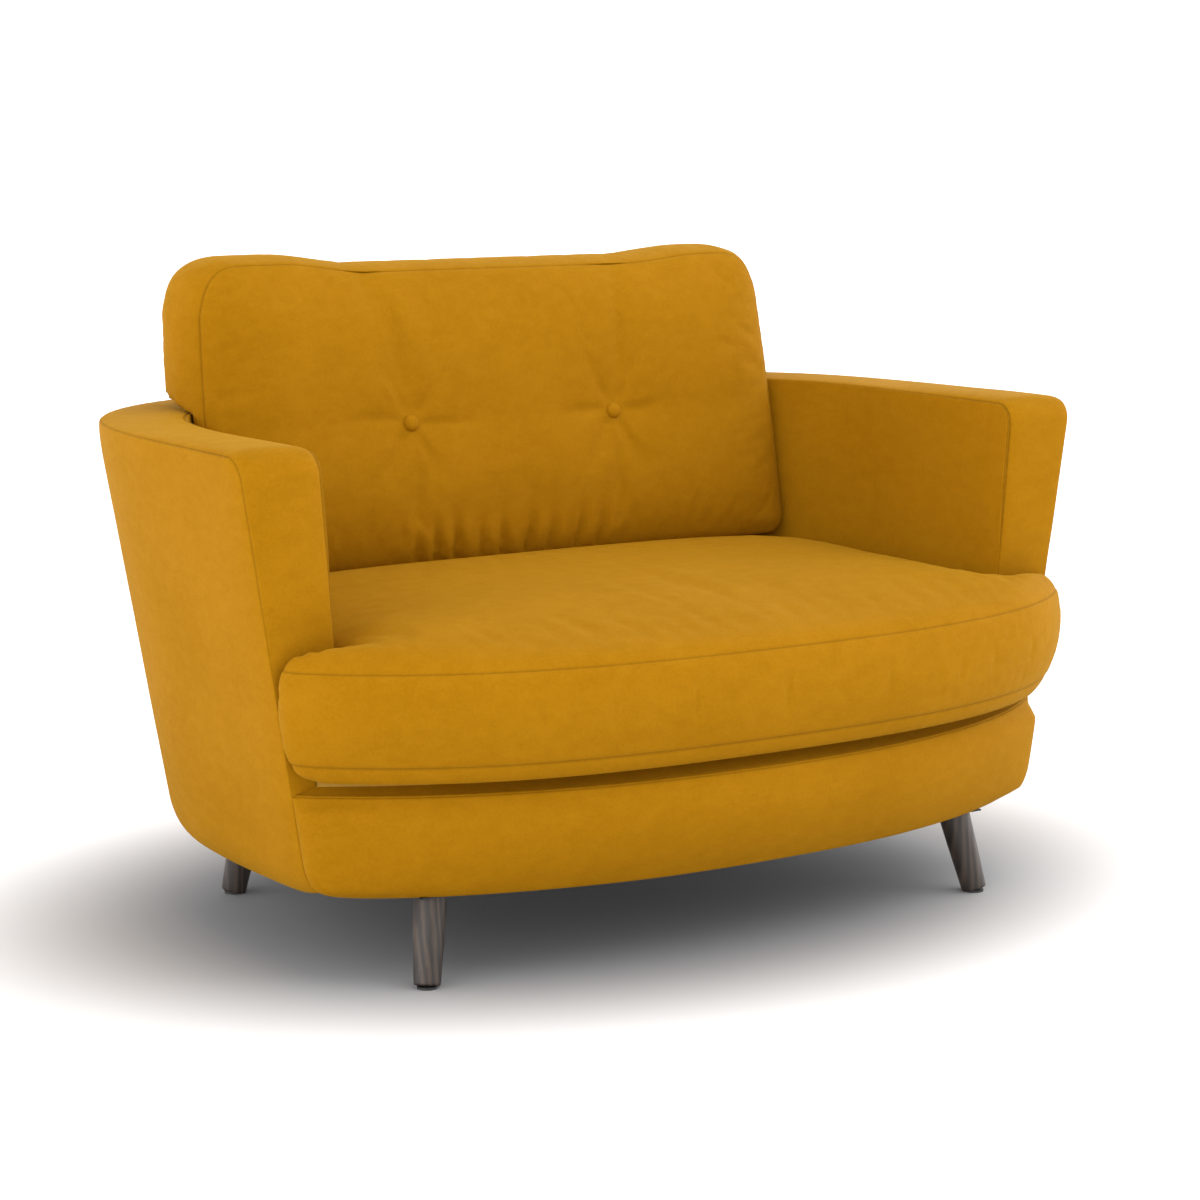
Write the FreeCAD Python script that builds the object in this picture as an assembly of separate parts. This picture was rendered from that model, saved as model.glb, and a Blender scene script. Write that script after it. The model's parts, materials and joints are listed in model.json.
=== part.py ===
"""Two-seat tub sofa on four round wooden legs, as its separate pieces.

Millimetres, +X to the sofa's left-hand arm as you face it, +Y towards the back, +Z up.
The origin is on the floor under the middle of the sofa. "left" is the -X side.
Each piece is written to parts/NAME.step.
"""

import FreeCAD, Part
import math
import os
from FreeCAD import Vector

# ---- driving dimensions -------------------------------------------------------------------
UNDERSIDE = 116.0             # floor to the underside of the upholstery
SHELL_HEIGHT = 556.0          # underside to the seam under the padded top of arms and back
HALF_WIDTH_TOP = 652.0        # middle of the sofa to the outside of an arm, at that seam
HALF_WIDTH_FOOT = 566.0       # the same at the underside, before the edge tucks in
BACK_TOP = 488.0              # outside of the back, at the shoulder seam
BACK_FOOT = 397.0             # outside of the back, at the underside
TOP_RISE = 18.0               # how far the padded top is domed above its seams
ARM_FRONT = -270.0            # front face of the arms
WIDEST = -80.0                # where the sides stop being straight and the back begins to curve
BACK_SQUARENESS = 2.9         # superellipse exponent of the outside of the back
INNER_SQUARENESS = 3.1        # superellipse exponent of the inside of the back
ARM_THICK_TOP = 107.0         # arm thickness at the shoulder seam
ARM_THICK_DECK = 76.0         # arm thickness at the deck
BACK_THICK_TOP = 110.0        # back thickness at the shoulder seam
BACK_THICK_DECK = 118.0       # back thickness at the deck
EDGE_TUCK = 16.0              # how far the lower edge tucks in
EDGE_HEIGHT = 44.0            # over what height it does so
CORNER_INSET = 236.0          # outside of the foot to the seams between back and arms

RAIL_HEIGHT = 132.0           # underside to the seam along the top of the front rail
RAIL_BOW = 178.0              # how far the front rail bows out in front of the arms
RAIL_BULGE = 7.0              # how far its face swells beyond the top seam
RAIL_TUCK_FRONT = 32.0        # how far its lower edge is set back from the top seam
BOW_SPREAD = 1.21             # width of the bow's full superellipse over the rail's width
BOW_SQUARENESS = 2.09

COVER = 2.0                   # fabric with its lining
FOAM = 35.0                   # foam on the inside of arms and back
RAIL_FOAM = 20.0              # foam on the front rail
RAIL_CLEAR = 1.0              # glued lining between that foam and the timber
TIMBER = 25.0                 # thickness of the front rail
BOARD_GAP = 6.0               # outside cover to frame
RAIL_DROP = 16.0              # rail seam to the top edge of the four base rails
TOP_RAIL_DROP = 76.0          # shoulder seam to the underside of the top rails
TOP_RAIL_HEIGHT = 24.0
POST_WIDTH = 50.0
REAR_POST_SET = 200.0         # rear arm posts, behind the widest place
BEAM_HEIGHT = 70.0            # height of the rail down the middle of the base
ARM_PAD = 18.0                # foam on the front of an arm
DECK_RISE = 20.0              # rail seam to the top of the sprung deck
DECK_PAD = 22.0               # felt and foam on the springs
DECK_SET = 30.0               # outside of the rail to the edge of the deck
RAIL_ROLL = 1.4               # how fast the rail's top edge rolls inwards as it rises
DUST_COVER = 2.0

SPRING_COUNT = 7
SPRING_WIRE_R = 1.9
SPRING_PITCH = 24.0
SPRING_HALF = 24.0
SPRING_SPACING = 120.0
SPRING_REST = 12.0            # how much of a spring lies on the back rail

LEG_SIDE_INSET = 128.0        # outside of the foot of the shell to the centre of a leg's foot
LEG_FRONT_INSET = 110.0       # front of the rail's seam to the centre of a front leg's foot
LEG_BACK_INSET = 186.0
LEG_SPLAY_X = 20.0            # how much further in a leg's top is
LEG_SPLAY_FRONT = 26.0        # how much further back a front leg's top is
LEG_SPLAY_BACK = 11.0         # how much further forward a back leg's top is
LEG_FOOT_R = 17.0
LEG_TOP_R = 22.0
GLIDE_R = 13.0
GLIDE_THICK = 3.0
PLATE_SIDE = 56.0
PLATE_THICK = 2.0
BOLT_R = 4.0
BOLT_LENGTH = 76.0
BLOCK_SIDE = 92.0
BLOCK_HEIGHT = 44.0

CUSHION_THICK = 172.0         # deck to the flat part of the seat cushion's top
CUSHION_OVERHANG = 31.0       # seat cushion's front seam, ahead of the rail's
CUSHION_SPREAD = 1.14         # width of the front curve's full superellipse over the cushion's
CUSHION_SQUARENESS = 2.56
CUSHION_CENTRE = -20.0        # centre of that superellipse
CUSHION_BULGE = 9.0           # how far its border swells between its two seams
WING_OVER = 16.5              # wings beyond the outside of the arms at the deck
WING_ROUND = 7.0              # how far the wing's end is rounded out
CUSHION_GAP = 5.0             # seat cushion to the inside of the arms and back
WING_GAP = 3.0                # wings to the front of the arms

BACK_CUSHION_HEIGHT = 438.0
BACK_CUSHION_THICK = 150.0
BACK_CUSHION_SIDE_GAP = 57.0  # to the inside of an arm, at the bottom of the cushion
BACK_CUSHION_SET = 15.4       # to the inside of the back, at the bottom of the cushion
BACK_CUSHION_BULGE = 38.0
BACK_CORNER_R = 26.0          # radius of the cushion's upright corners
BACK_SIDE_SWELL = 8.0         # how far its sides swell
BACK_LEAN = 0.18              # set back per unit of height
BACK_GAP = 4.0                # back cushion to the shell
BUTTON_X = 168.0
BUTTON_RISE = 204.0           # top of the seat cushion to the buttons
BUTTON_R = 11.5
BUTTON_THICK = 7.0
BUTTON_SINK = 1.0
REAR_BUTTON_THICK = 4.0
TWINE_R = 1.0
ZIP_HALF = 240.0              # half the length of each zip
ZIP_WIDTH = 10.0

REST_GAP = 0.3                # between bodies that lie on each other
CURVE_POINTS = 17
FAR = 1000.0                  # beyond the sofa in every direction

# ---- heights and places that follow from them ---------------------------------------------
SHOULDER = UNDERSIDE + SHELL_HEIGHT
RAIL_TOP = UNDERSIDE + RAIL_HEIGHT
RAIL_TIMBER_TOP = RAIL_TOP - RAIL_DROP
DECK = RAIL_TOP + DECK_RISE
CUSHION_TOP = DECK + CUSHION_THICK
BACK_CUSHION_TOP = CUSHION_TOP + BACK_CUSHION_HEIGHT
BUTTON_HEIGHT = CUSHION_TOP + BUTTON_RISE
TOP_RAIL_BOTTOM = SHOULDER - TOP_RAIL_DROP
TOP_RAIL_TOP = TOP_RAIL_BOTTOM + TOP_RAIL_HEIGHT
BASE_FLOOR = UNDERSIDE + DUST_COVER
POST_FRONT = ARM_FRONT + ARM_PAD + COVER
CORNER_X = HALF_WIDTH_FOOT - CORNER_INSET
CUSHION_FRONT = ARM_FRONT - RAIL_BOW - CUSHION_OVERHANG
EDGE_LEVELS = [UNDERSIDE + EDGE_HEIGHT * share for share in (0.0, 0.12, 0.35, 1.0)]


def lerp(low, high, share):
    return low + (high - low) * share


def height_share(z, bottom):
    return (z - bottom) / (SHOULDER - bottom)


def outer_half(z):
    return lerp(HALF_WIDTH_FOOT, HALF_WIDTH_TOP, height_share(z, UNDERSIDE))


def outer_back(z):
    return lerp(BACK_FOOT, BACK_TOP, height_share(z, UNDERSIDE))


def inner_half(z):
    return outer_half(z) - lerp(ARM_THICK_DECK, ARM_THICK_TOP, height_share(z, DECK))


def inner_back(z):
    return outer_back(z) - lerp(BACK_THICK_DECK, BACK_THICK_TOP, height_share(z, DECK))


def tuck(z):
    """How far the rounded lower edge is set in at height z."""
    rise = min(1.0, (z - UNDERSIDE) / EDGE_HEIGHT)
    return EDGE_TUCK * (1.0 - math.sqrt(1.0 - (1.0 - rise) ** 2))


# ---- outlines -----------------------------------------------------------------------------
def spline(points):
    curve = Part.BSplineCurve()
    curve.interpolate(points)
    return curve.toShape()


def back_y(x, half, back, squareness):
    """Depth of the curved back at x."""
    share = min(1.0, abs(x) / half)
    return WIDEST + (back - WIDEST) * (1 - share ** squareness) ** (1 / squareness)


def bow_y(x, half, start_y, depth, spread, squareness):
    """Depth of a bowed front at x: start_y at both ends, depth further forward in the middle."""
    end_rise = (1 - (1 / spread) ** squareness) ** (1 / squareness)
    rise = (1 - (abs(x) / (half * spread)) ** squareness) ** (1 / squareness)
    return start_y - depth * (rise - end_rise) / (1 - end_rise)


def back_curve(z, half, back, squareness):
    """From the right side round the back to the left side."""
    points = []
    for i in range(CURVE_POINTS):
        turn = math.pi * i / (CURVE_POINTS - 1)
        across, along = math.cos(turn), max(math.sin(turn), 0.0)
        x = math.copysign(abs(across) ** (2 / squareness), across) * half
        points.append(Vector(x, WIDEST + along ** (2 / squareness) * (back - WIDEST), z))
    return spline(points)


def bow_curve(z, half, start_y, depth, spread, squareness):
    """From the left end round the front to the right end."""
    points = []
    for i in range(CURVE_POINTS):
        x = -half * math.cos(math.pi * i / (CURVE_POINTS - 1))
        points.append(Vector(x, bow_y(x, half, start_y, depth, spread, squareness), z))
    return spline(points)


def line(x1, y1, x2, y2, z):
    return Part.makeLine(Vector(x1, y1, z), Vector(x2, y2, z))


def tub_outline(z, half, back, squareness, front):
    """A D: straight front, straight sides as far as WIDEST, curved back."""
    return Part.Wire([
        line(-half, front, half, front, z),
        line(half, front, half, WIDEST, z),
        back_curve(z, half, back, squareness),
        line(-half, WIDEST, -half, front, z),
    ])


def footprint(z, inset):
    """The whole base: the bowed front rail joined to the outside of arms and back."""
    half = outer_half(z) - tuck(z) - inset
    back = outer_back(z) - tuck(z) - inset
    return Part.Wire([
        bow_curve(z, half, ARM_FRONT, rail_depth(z) - inset, BOW_SPREAD, BOW_SQUARENESS),
        line(half, ARM_FRONT, half, WIDEST, z),
        back_curve(z, half, back, BACK_SQUARENESS),
        line(-half, WIDEST, -half, ARM_FRONT, z),
    ])


def rail_depth(z):
    """How far the front rail's face stands ahead of the arms at height z."""
    rise = min(1.0, (z - UNDERSIDE) / (RAIL_TOP - UNDERSIDE))
    swell = RAIL_BULGE * math.sin(math.pi * rise ** 2)
    return RAIL_BOW - RAIL_TUCK_FRONT * (1 - rise) ** 3 + swell


def loft(wires):
    return Part.makeLoft(wires, True, True)


def box(x1, x2, y1, y2, z1, z2):
    return Part.makeBox(x2 - x1, y2 - y1, z2 - z1, Vector(x1, y1, z1))


def outer_tub(inset, top=SHOULDER, front=ARM_FRONT):
    """Everything inside the outside face of arms and back, less the inset."""
    wires = []
    for z in EDGE_LEVELS + [top]:
        half = outer_half(z) - tuck(z) - inset
        wires.append(tub_outline(z, half, outer_back(z) - tuck(z) - inset, BACK_SQUARENESS, front))
    return loft(wires)


def inner_tub(outset, bottom=UNDERSIDE, top=SHOULDER, front=ARM_FRONT - 1.0):
    """The seat space between arms and back, grown by the outset."""
    wires = []
    for z in (bottom, top):
        half = inner_half(z) + outset
        wires.append(tub_outline(z, half, inner_back(z) + outset, INNER_SQUARENESS, front))
    return loft(wires)


DOME_STEPS = ((0.0, 0.0), (0.45, 5.0), (0.8, 15.0), (1.0, 33.0))   # share of TOP_RISE, inset


def shoulder_dome(inset, bottom):
    """The padded top of arms and back, from height bottom up to the dome."""
    front = ARM_FRONT + inset
    profile = [(bottom, inset)]
    for share, step in DOME_STEPS:
        profile.append((SHOULDER + TOP_RISE * share - inset, step + inset))
    outside = [(z, step) for z, step in profile if z >= bottom]
    if inset == 0:
        outside = outside[1:]
    inside = outside + [(SHOULDER + TOP_RISE + 1.0, outside[-1][1])]
    outer_wires = []
    for z, step in outside:
        outer_wires.append(tub_outline(z, outer_half(z) - step, outer_back(z) - step,
                                       BACK_SQUARENESS, front))
    inner_wires = []
    for z, step in inside:
        inner_wires.append(tub_outline(z, inner_half(z) + step, inner_back(z) + step,
                                       INNER_SQUARENESS, front - 1.0))
    return loft(outer_wires).cut(loft(inner_wires))


def thirds(shape):
    """Cuts a piece of the tub into its left arm, back and right arm."""
    split = {}
    low, high = -FAR, FAR
    split["left"] = shape.common(box(low, -CORNER_X, low, high, 0, high))
    split["back"] = shape.common(box(-CORNER_X, CORNER_X, low, high, 0, high))
    split["right"] = shape.common(box(CORNER_X, high, low, high, 0, high))
    return split


SIDES = (("left", -1), ("right", 1))
parts = {}


# ---- covers and padding of the tub --------------------------------------------------------
def make_tub_upholstery():
    cover_foot = RAIL_TOP + COVER
    outside = outer_tub(0).cut(outer_tub(COVER, front=ARM_FRONT - 1.0))
    for name, piece in thirds(outside).items():
        parts[f"outside_cover_{name}"] = piece

    inner_zone = box(-FAR, FAR, POST_FRONT, FAR, DECK, SHOULDER)
    inside = inner_tub(COVER).cut(inner_tub(0)).common(inner_zone)
    for name, piece in thirds(inside).items():
        parts[f"inside_cover_{name}"] = piece

    foam_zone = box(-FAR, FAR, POST_FRONT, FAR, DECK, TOP_RAIL_TOP)
    foam = inner_tub(FOAM + COVER).cut(inner_tub(COVER)).common(foam_zone)
    for name, piece in thirds(foam).items():
        parts[f"inside_foam_{name}"] = piece

    full_top = shoulder_dome(0, SHOULDER)
    padded_top = shoulder_dome(COVER, TOP_RAIL_TOP)
    back_of_pad = box(-FAR, FAR, POST_FRONT, FAR, 0, FAR)
    for name, piece in thirds(full_top.cut(padded_top)).items():
        parts[f"shoulder_cover_{name}"] = piece
    for name, piece in thirds(padded_top.common(back_of_pad)).items():
        parts[f"shoulder_foam_{name}"] = piece

    front_zone = box(-FAR, FAR, ARM_FRONT, ARM_FRONT + COVER, cover_foot, SHOULDER)
    pad_zone = box(-FAR, FAR, ARM_FRONT + COVER, POST_FRONT, cover_foot, FAR)
    arm_body = outer_tub(COVER).cut(inner_tub(COVER))
    arm_skin = outer_tub(COVER).cut(inner_tub(0))
    low_pad = arm_body.common(pad_zone)
    tall_pad = low_pad.fuse(padded_top.common(pad_zone)).removeSplitter()
    return_zone = box(-FAR, FAR, ARM_FRONT + COVER, POST_FRONT, cover_foot, SHOULDER)
    inner_return = inner_tub(COVER).cut(inner_tub(0)).common(return_zone)
    front_skin = arm_skin.common(front_zone).fuse(inner_return).removeSplitter()
    for name, side in SIDES:
        half_space = box(min(0, side * FAR), max(0, side * FAR), -FAR, FAR, 0, FAR)
        parts[f"arm_front_cover_{name}"] = front_skin.common(half_space)
        parts[f"arm_front_foam_{name}"] = tall_pad.common(half_space)


# ---- timber frame -------------------------------------------------------------------------
def timber_zone():
    """The space for timber inside arms and back."""
    return outer_tub(BOARD_GAP, front=POST_FRONT).cut(inner_tub(FOAM + COVER))


def make_frame():
    zone = timber_zone()
    base = zone.common(box(-FAR, FAR, POST_FRONT, FAR, BASE_FLOOR, RAIL_TIMBER_TOP))
    top = zone.common(box(-FAR, FAR, POST_FRONT, FAR, TOP_RAIL_BOTTOM,
                          TOP_RAIL_TOP))
    for name, piece in thirds(top).items():
        parts[f"top_rail_{name}"] = piece

    post_back = POST_FRONT + POST_WIDTH
    rear_post = WIDEST + REAR_POST_SET
    front_post_zone = box(-FAR, FAR, POST_FRONT, post_back, BASE_FLOOR, TOP_RAIL_BOTTOM)
    rear_post_zone = box(-FAR, FAR, rear_post, rear_post + POST_WIDTH, RAIL_TIMBER_TOP, TOP_RAIL_BOTTOM)
    for name, side in SIDES:
        half_space = box(min(0, side * FAR), max(0, side * FAR), -FAR, FAR, 0, FAR)
        parts[f"arm_post_front_{name}"] = zone.common(front_post_zone).common(half_space)
        parts[f"arm_post_rear_{name}"] = zone.common(rear_post_zone).common(half_space)
        rail = thirds(base)[name].cut(box(-FAR, FAR, POST_FRONT, post_back, 0, FAR))
        parts[f"side_rail_{name}"] = rail
        centre = side * (CORNER_X - POST_WIDTH / 2)
        back_zone = box(centre - POST_WIDTH / 2, centre + POST_WIDTH / 2, 0, FAR,
                        RAIL_TIMBER_TOP, TOP_RAIL_BOTTOM)
        parts[f"back_post_{name}"] = zone.common(back_zone)
    parts["back_rail"] = thirds(base)["back"]

    rail_levels = (BASE_FLOOR + EDGE_HEIGHT, RAIL_TIMBER_TOP)
    face_inset = RAIL_FOAM + COVER + RAIL_CLEAR
    bow_outer = loft([footprint(z, face_inset) for z in rail_levels])
    bow_inner = loft([footprint(z, face_inset + TIMBER) for z in rail_levels])
    rail_zone = box(-FAR, FAR, -FAR, POST_FRONT, 0, FAR)
    parts["front_rail"] = bow_outer.cut(bow_inner).common(rail_zone)
    beam_start = ARM_FRONT - rail_depth(UNDERSIDE + EDGE_HEIGHT) + RAIL_FOAM + COVER + TIMBER / 2
    beam = box(-POST_WIDTH / 2, POST_WIDTH / 2, beam_start,
               inner_back(UNDERSIDE) + FOAM + COVER, BASE_FLOOR, BASE_FLOOR + BEAM_HEIGHT)
    parts["centre_rail"] = beam.cut(parts["back_rail"]).cut(parts["front_rail"])


# ---- front rail upholstery, deck and underside --------------------------------------------
def rail_body(inset):
    levels = EDGE_LEVELS + [lerp(EDGE_LEVELS[-1], RAIL_TOP, 0.5)]
    levels += [RAIL_TOP + DECK_RISE * share for share in (0.0, 0.4, 0.7)]
    wires = []
    for z in levels:
        top_roll = 0.0
        if z > RAIL_TOP:
            top_roll = (z - RAIL_TOP) * RAIL_ROLL
        wires.append(footprint(z, inset + top_roll))
    return loft(wires)


def make_front_rail_upholstery():
    ahead_of_arms = box(-FAR, FAR, -FAR, ARM_FRONT, 0, FAR)
    whole = rail_body(0).common(ahead_of_arms)
    padded = rail_body(COVER).common(ahead_of_arms)
    behind_foam = rail_body(COVER + RAIL_FOAM)
    parts["front_rail_cover"] = whole.cut(padded)
    foam = padded.cut(behind_foam).cut(parts["front_rail"])
    parts["front_rail_foam"] = foam.cut(parts["centre_rail"])


def make_deck():
    springs_top = DECK - COVER - DECK_PAD
    arm_line = ARM_FRONT
    seat_space = inner_tub(-REST_GAP, bottom=RAIL_TIMBER_TOP, front=arm_line)
    front_space = loft([footprint(z, DECK_SET) for z in (springs_top, DECK)])
    front_space = front_space.common(box(-FAR, FAR, -FAR, arm_line, 0, FAR))
    front_space = front_space.cut(rail_body(0).cut(rail_body(COVER + RAIL_FOAM)))
    area = seat_space.fuse(front_space).removeSplitter()
    parts["deck_pad"] = area.common(box(-FAR, FAR, -FAR, FAR, springs_top, DECK - COVER))
    parts["deck_cover"] = area.common(box(-FAR, FAR, -FAR, FAR, DECK - COVER, DECK))


def zigzag(x, start, end, z):
    """A flat serpentine spring of round wire from start to end."""
    turns = int((end - start) / SPRING_PITCH)
    pitch = (end - start) / turns
    r = pitch / 2
    edges = []
    for i in range(turns):
        side = 1 if i % 2 == 0 else -1
        y = start + pitch * i
        reach = side * (SPRING_HALF - r)
        edges.append(line(x - reach, y, x + reach, y, z))
        edges.append(Part.Arc(Vector(x + reach, y, z), Vector(x + reach + side * r, y + r, z),
                              Vector(x + reach, y + pitch, z)).toShape())
    edges.append(line(x + side * (SPRING_HALF - r), end, x, end, z))
    section = Part.Wire(Part.makeCircle(SPRING_WIRE_R, edges[0].Vertexes[0].Point, Vector(1, 0, 0)))
    return Part.Wire(edges).makePipeShell([section], True, False)


def make_springs():
    """They run from the top of the front rail to the top of the back rail."""
    z = RAIL_TIMBER_TOP + SPRING_WIRE_R
    half = outer_half(z)
    rail_inset = RAIL_FOAM + COVER + TIMBER / 2
    springs = []
    for i in range(SPRING_COUNT):
        x = SPRING_SPACING * (i - (SPRING_COUNT - 1) / 2)
        start = bow_y(x, half - rail_inset, ARM_FRONT, rail_depth(z) - rail_inset,
                      BOW_SPREAD, BOW_SQUARENESS)
        end = back_y(x, inner_half(z), inner_back(z), INNER_SQUARENESS) + FOAM + COVER
        springs.append(zigzag(x, start, end + SPRING_REST, z))
    parts["seat_springs"] = Part.makeCompound(springs)


def make_underside(bolts):
    levels = (UNDERSIDE, UNDERSIDE + DUST_COVER)
    sheet = loft([footprint(z, EDGE_TUCK + RAIL_FOAM) for z in levels])
    for bolt in bolts:
        sheet = sheet.cut(bolt)
    parts["dust_cover"] = sheet


# ---- legs ---------------------------------------------------------------------------------
def make_legs():
    leg_top = UNDERSIDE - PLATE_THICK
    foot_x = HALF_WIDTH_FOOT - LEG_SIDE_INSET
    corners = (("front", ARM_FRONT - RAIL_BOW + LEG_FRONT_INSET, LEG_SPLAY_FRONT),
               ("back", BACK_FOOT - LEG_BACK_INSET, -LEG_SPLAY_BACK))
    plates, bolts, glides = [], [], []
    for name, side in SIDES:
        for end, foot_y, splay_y in corners:
            foot = Vector(side * foot_x, foot_y, GLIDE_THICK)
            head = Vector(side * (foot_x - LEG_SPLAY_X), foot_y + splay_y, leg_top)
            direction = head.sub(foot)
            wires = []
            for centre, radius in ((foot, LEG_FOOT_R), (head, LEG_TOP_R)):
                wires.append(Part.Wire(Part.makeCircle(radius, centre, Vector(0, 0, 1))))
            leg = loft(wires)
            axis = Vector(direction).normalize()
            bolt_foot = head.sub(Vector(axis).multiply(BOLT_LENGTH / 2))
            bolt = Part.makeCylinder(BOLT_R, BOLT_LENGTH, bolt_foot, axis)
            plate = box(head.x - PLATE_SIDE / 2, head.x + PLATE_SIDE / 2,
                        head.y - PLATE_SIDE / 2, head.y + PLATE_SIDE / 2, leg_top, UNDERSIDE)
            block = box(head.x - BLOCK_SIDE / 2, head.x + BLOCK_SIDE / 2,
                        head.y - BLOCK_SIDE / 2, head.y + BLOCK_SIDE / 2,
                        BASE_FLOOR, BASE_FLOOR + BLOCK_HEIGHT)
            for timber in ("front_rail", f"side_rail_{name}", f"arm_post_front_{name}", "back_rail"):
                block = block.cut(parts[timber])
            block = block.common(loft([footprint(z, RAIL_FOAM + COVER) for z in
                                       (BASE_FLOOR, BASE_FLOOR + BLOCK_HEIGHT)]))
            block = block.cut(parts["front_rail_foam"])
            parts[f"leg_{end}_{name}"] = leg.cut(bolt)
            parts[f"leg_block_{end}_{name}"] = block.cut(bolt)
            plates.append(plate.cut(bolt))
            bolts.append(bolt)
            glides.append(Part.makeCylinder(GLIDE_R, GLIDE_THICK, Vector(foot.x, foot.y, 0)))
    parts["leg_plates"] = Part.makeCompound(plates)
    parts["leg_bolts"] = Part.makeCompound(bolts)
    parts["leg_glides"] = Part.makeCompound(glides)
    return bolts


# ---- seat cushion -------------------------------------------------------------------------
def cushion_outline(z, step, shrink):
    """A T: bowed front, wings ahead of the arms, a neck between them, a curved back.

    The step insets the free edges, and the shrink every edge.
    """
    inset = step + shrink
    wing = outer_half(DECK) + WING_OVER - inset
    end_rise = (1 - (1 / CUSHION_SPREAD) ** CUSHION_SQUARENESS) ** (1 / CUSHION_SQUARENESS)
    depth = CUSHION_CENTRE - CUSHION_FRONT - inset
    front_y = CUSHION_CENTRE - depth * end_rise
    wing_back = ARM_FRONT - WING_GAP - shrink
    held_in = CUSHION_GAP + max(step, 0.0) + shrink
    neck = inner_half(DECK) - held_in
    back = inner_back(DECK) - held_in
    middle = (front_y + wing_back) / 2
    bow = bow_curve(z, wing, front_y, depth * (1 - end_rise), CUSHION_SPREAD, CUSHION_SQUARENESS)
    right_end = Part.Arc(Vector(wing, front_y, z), Vector(wing + WING_ROUND, middle, z),
                         Vector(wing, wing_back, z)).toShape()
    left_end = Part.Arc(Vector(-wing, wing_back, z), Vector(-wing - WING_ROUND, middle, z),
                        Vector(-wing, front_y, z)).toShape()
    return Part.Wire([
        bow, right_end,
        line(wing, wing_back, neck, wing_back, z),
        line(neck, wing_back, neck, WIDEST, z),
        back_curve(z, neck, back, INNER_SQUARENESS),
        line(-neck, WIDEST, -neck, wing_back, z),
        line(-neck, wing_back, -wing, wing_back, z),
        left_end,
    ])


CUSHION_STEPS = ((0.0, 20.0), (0.13, 1.0), (0.48, -CUSHION_BULGE), (0.82, 0.0), (0.94, 10.0), (1.0, 24.0))


def cushion_body(shrink):
    bottom = DECK + REST_GAP + shrink
    wires = []
    for share, step in CUSHION_STEPS:
        z = lerp(bottom, CUSHION_TOP - shrink, share)
        wires.append(cushion_outline(z, step, shrink))
    return loft(wires)


def make_seat_cushion():
    core = cushion_body(COVER)
    whole = cushion_body(0)
    zip_z = lerp(DECK, CUSHION_TOP, 0.62)
    slot = box(-ZIP_HALF, ZIP_HALF, 0, FAR, zip_z - ZIP_WIDTH / 2, zip_z + ZIP_WIDTH / 2)
    parts["seat_cushion_core"] = core
    parts["seat_cushion_cover"] = whole.cut(core).cut(slot)
    parts["seat_cushion_zip"] = whole.common(slot).cut(core)


# ---- back cushion -------------------------------------------------------------------------
BACK_STEPS = (
    (0.0, 16.0, 0.12), (0.05, 3.0, 0.45), (0.22, 0.0, 0.85), (0.47, 0.0, 1.0),
    (0.74, 0.0, 0.85), (0.92, 2.0, 0.45), (0.975, 14.0, 0.2), (1.0, 36.0, 0.0),
)                              # share of the height, inset, share of the bulge


def seam_y(z):
    """Front seam of the back cushion at height z."""
    foot = inner_back(CUSHION_TOP) - BACK_CUSHION_SET - BACK_CUSHION_THICK
    return foot + BACK_LEAN * (z - CUSHION_TOP)


def arc(start, middle, end):
    return Part.Arc(start, middle, end).toShape()


def back_cushion_outline(z, inset, bulge):
    half = inner_half(CUSHION_TOP) - BACK_CUSHION_SIDE_GAP - inset
    front = seam_y(z) + inset
    back = seam_y(z) + BACK_CUSHION_THICK - inset
    r = BACK_CORNER_R
    swell = BACK_SIDE_SWELL
    tip = math.sqrt(0.5) * r
    middle = (front + back) / 2
    corners = []
    for sx, sy, y in ((1, -1, front), (1, 1, back), (-1, 1, back), (-1, -1, front)):
        cx, cy = sx * (half - r), y - sy * r
        along = Vector(cx, y, z)
        across = Vector(sx * half, cy, z)
        point = Vector(cx + sx * tip, cy + sy * tip, z)
        corners.append((along, point, across))
    front_right, back_right, back_left, front_left = corners
    return Part.Wire([
        arc(front_left[0], Vector(0, front - bulge - 1.0, z), front_right[0]),
        arc(*front_right),
        arc(front_right[2], Vector(half + swell, middle, z), back_right[2]),
        arc(*reversed(back_right)),
        Part.makeLine(back_right[0], back_left[0]),
        arc(*back_left),
        arc(back_left[2], Vector(-half - swell, middle, z), front_left[2]),
        arc(*reversed(front_left)),
    ])


def back_cushion_body(shrink):
    bottom = CUSHION_TOP + REST_GAP + shrink
    wires = []
    for share, inset, bulge in BACK_STEPS:
        z = lerp(bottom, BACK_CUSHION_TOP - shrink, share)
        wires.append(back_cushion_outline(z, inset + shrink, BACK_CUSHION_BULGE * bulge))
    limit = []
    clear = BACK_GAP + shrink
    for z, outset in ((CUSHION_TOP - 1.0, 0.0), (SHOULDER - 4.0, 0.0), (SHOULDER + 0.6 * TOP_RISE, 6.0),
                      (SHOULDER + TOP_RISE + 1.0, 28.0), (SHOULDER + TOP_RISE + 14.0, 90.0),
                      (BACK_CUSHION_TOP + 1.0, 90.0)):
        limit.append(tub_outline(z, inner_half(z) - clear + outset, inner_back(z) - clear + outset,
                                 INNER_SQUARENESS, ARM_FRONT))
    return loft(wires).common(loft(limit))


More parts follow.
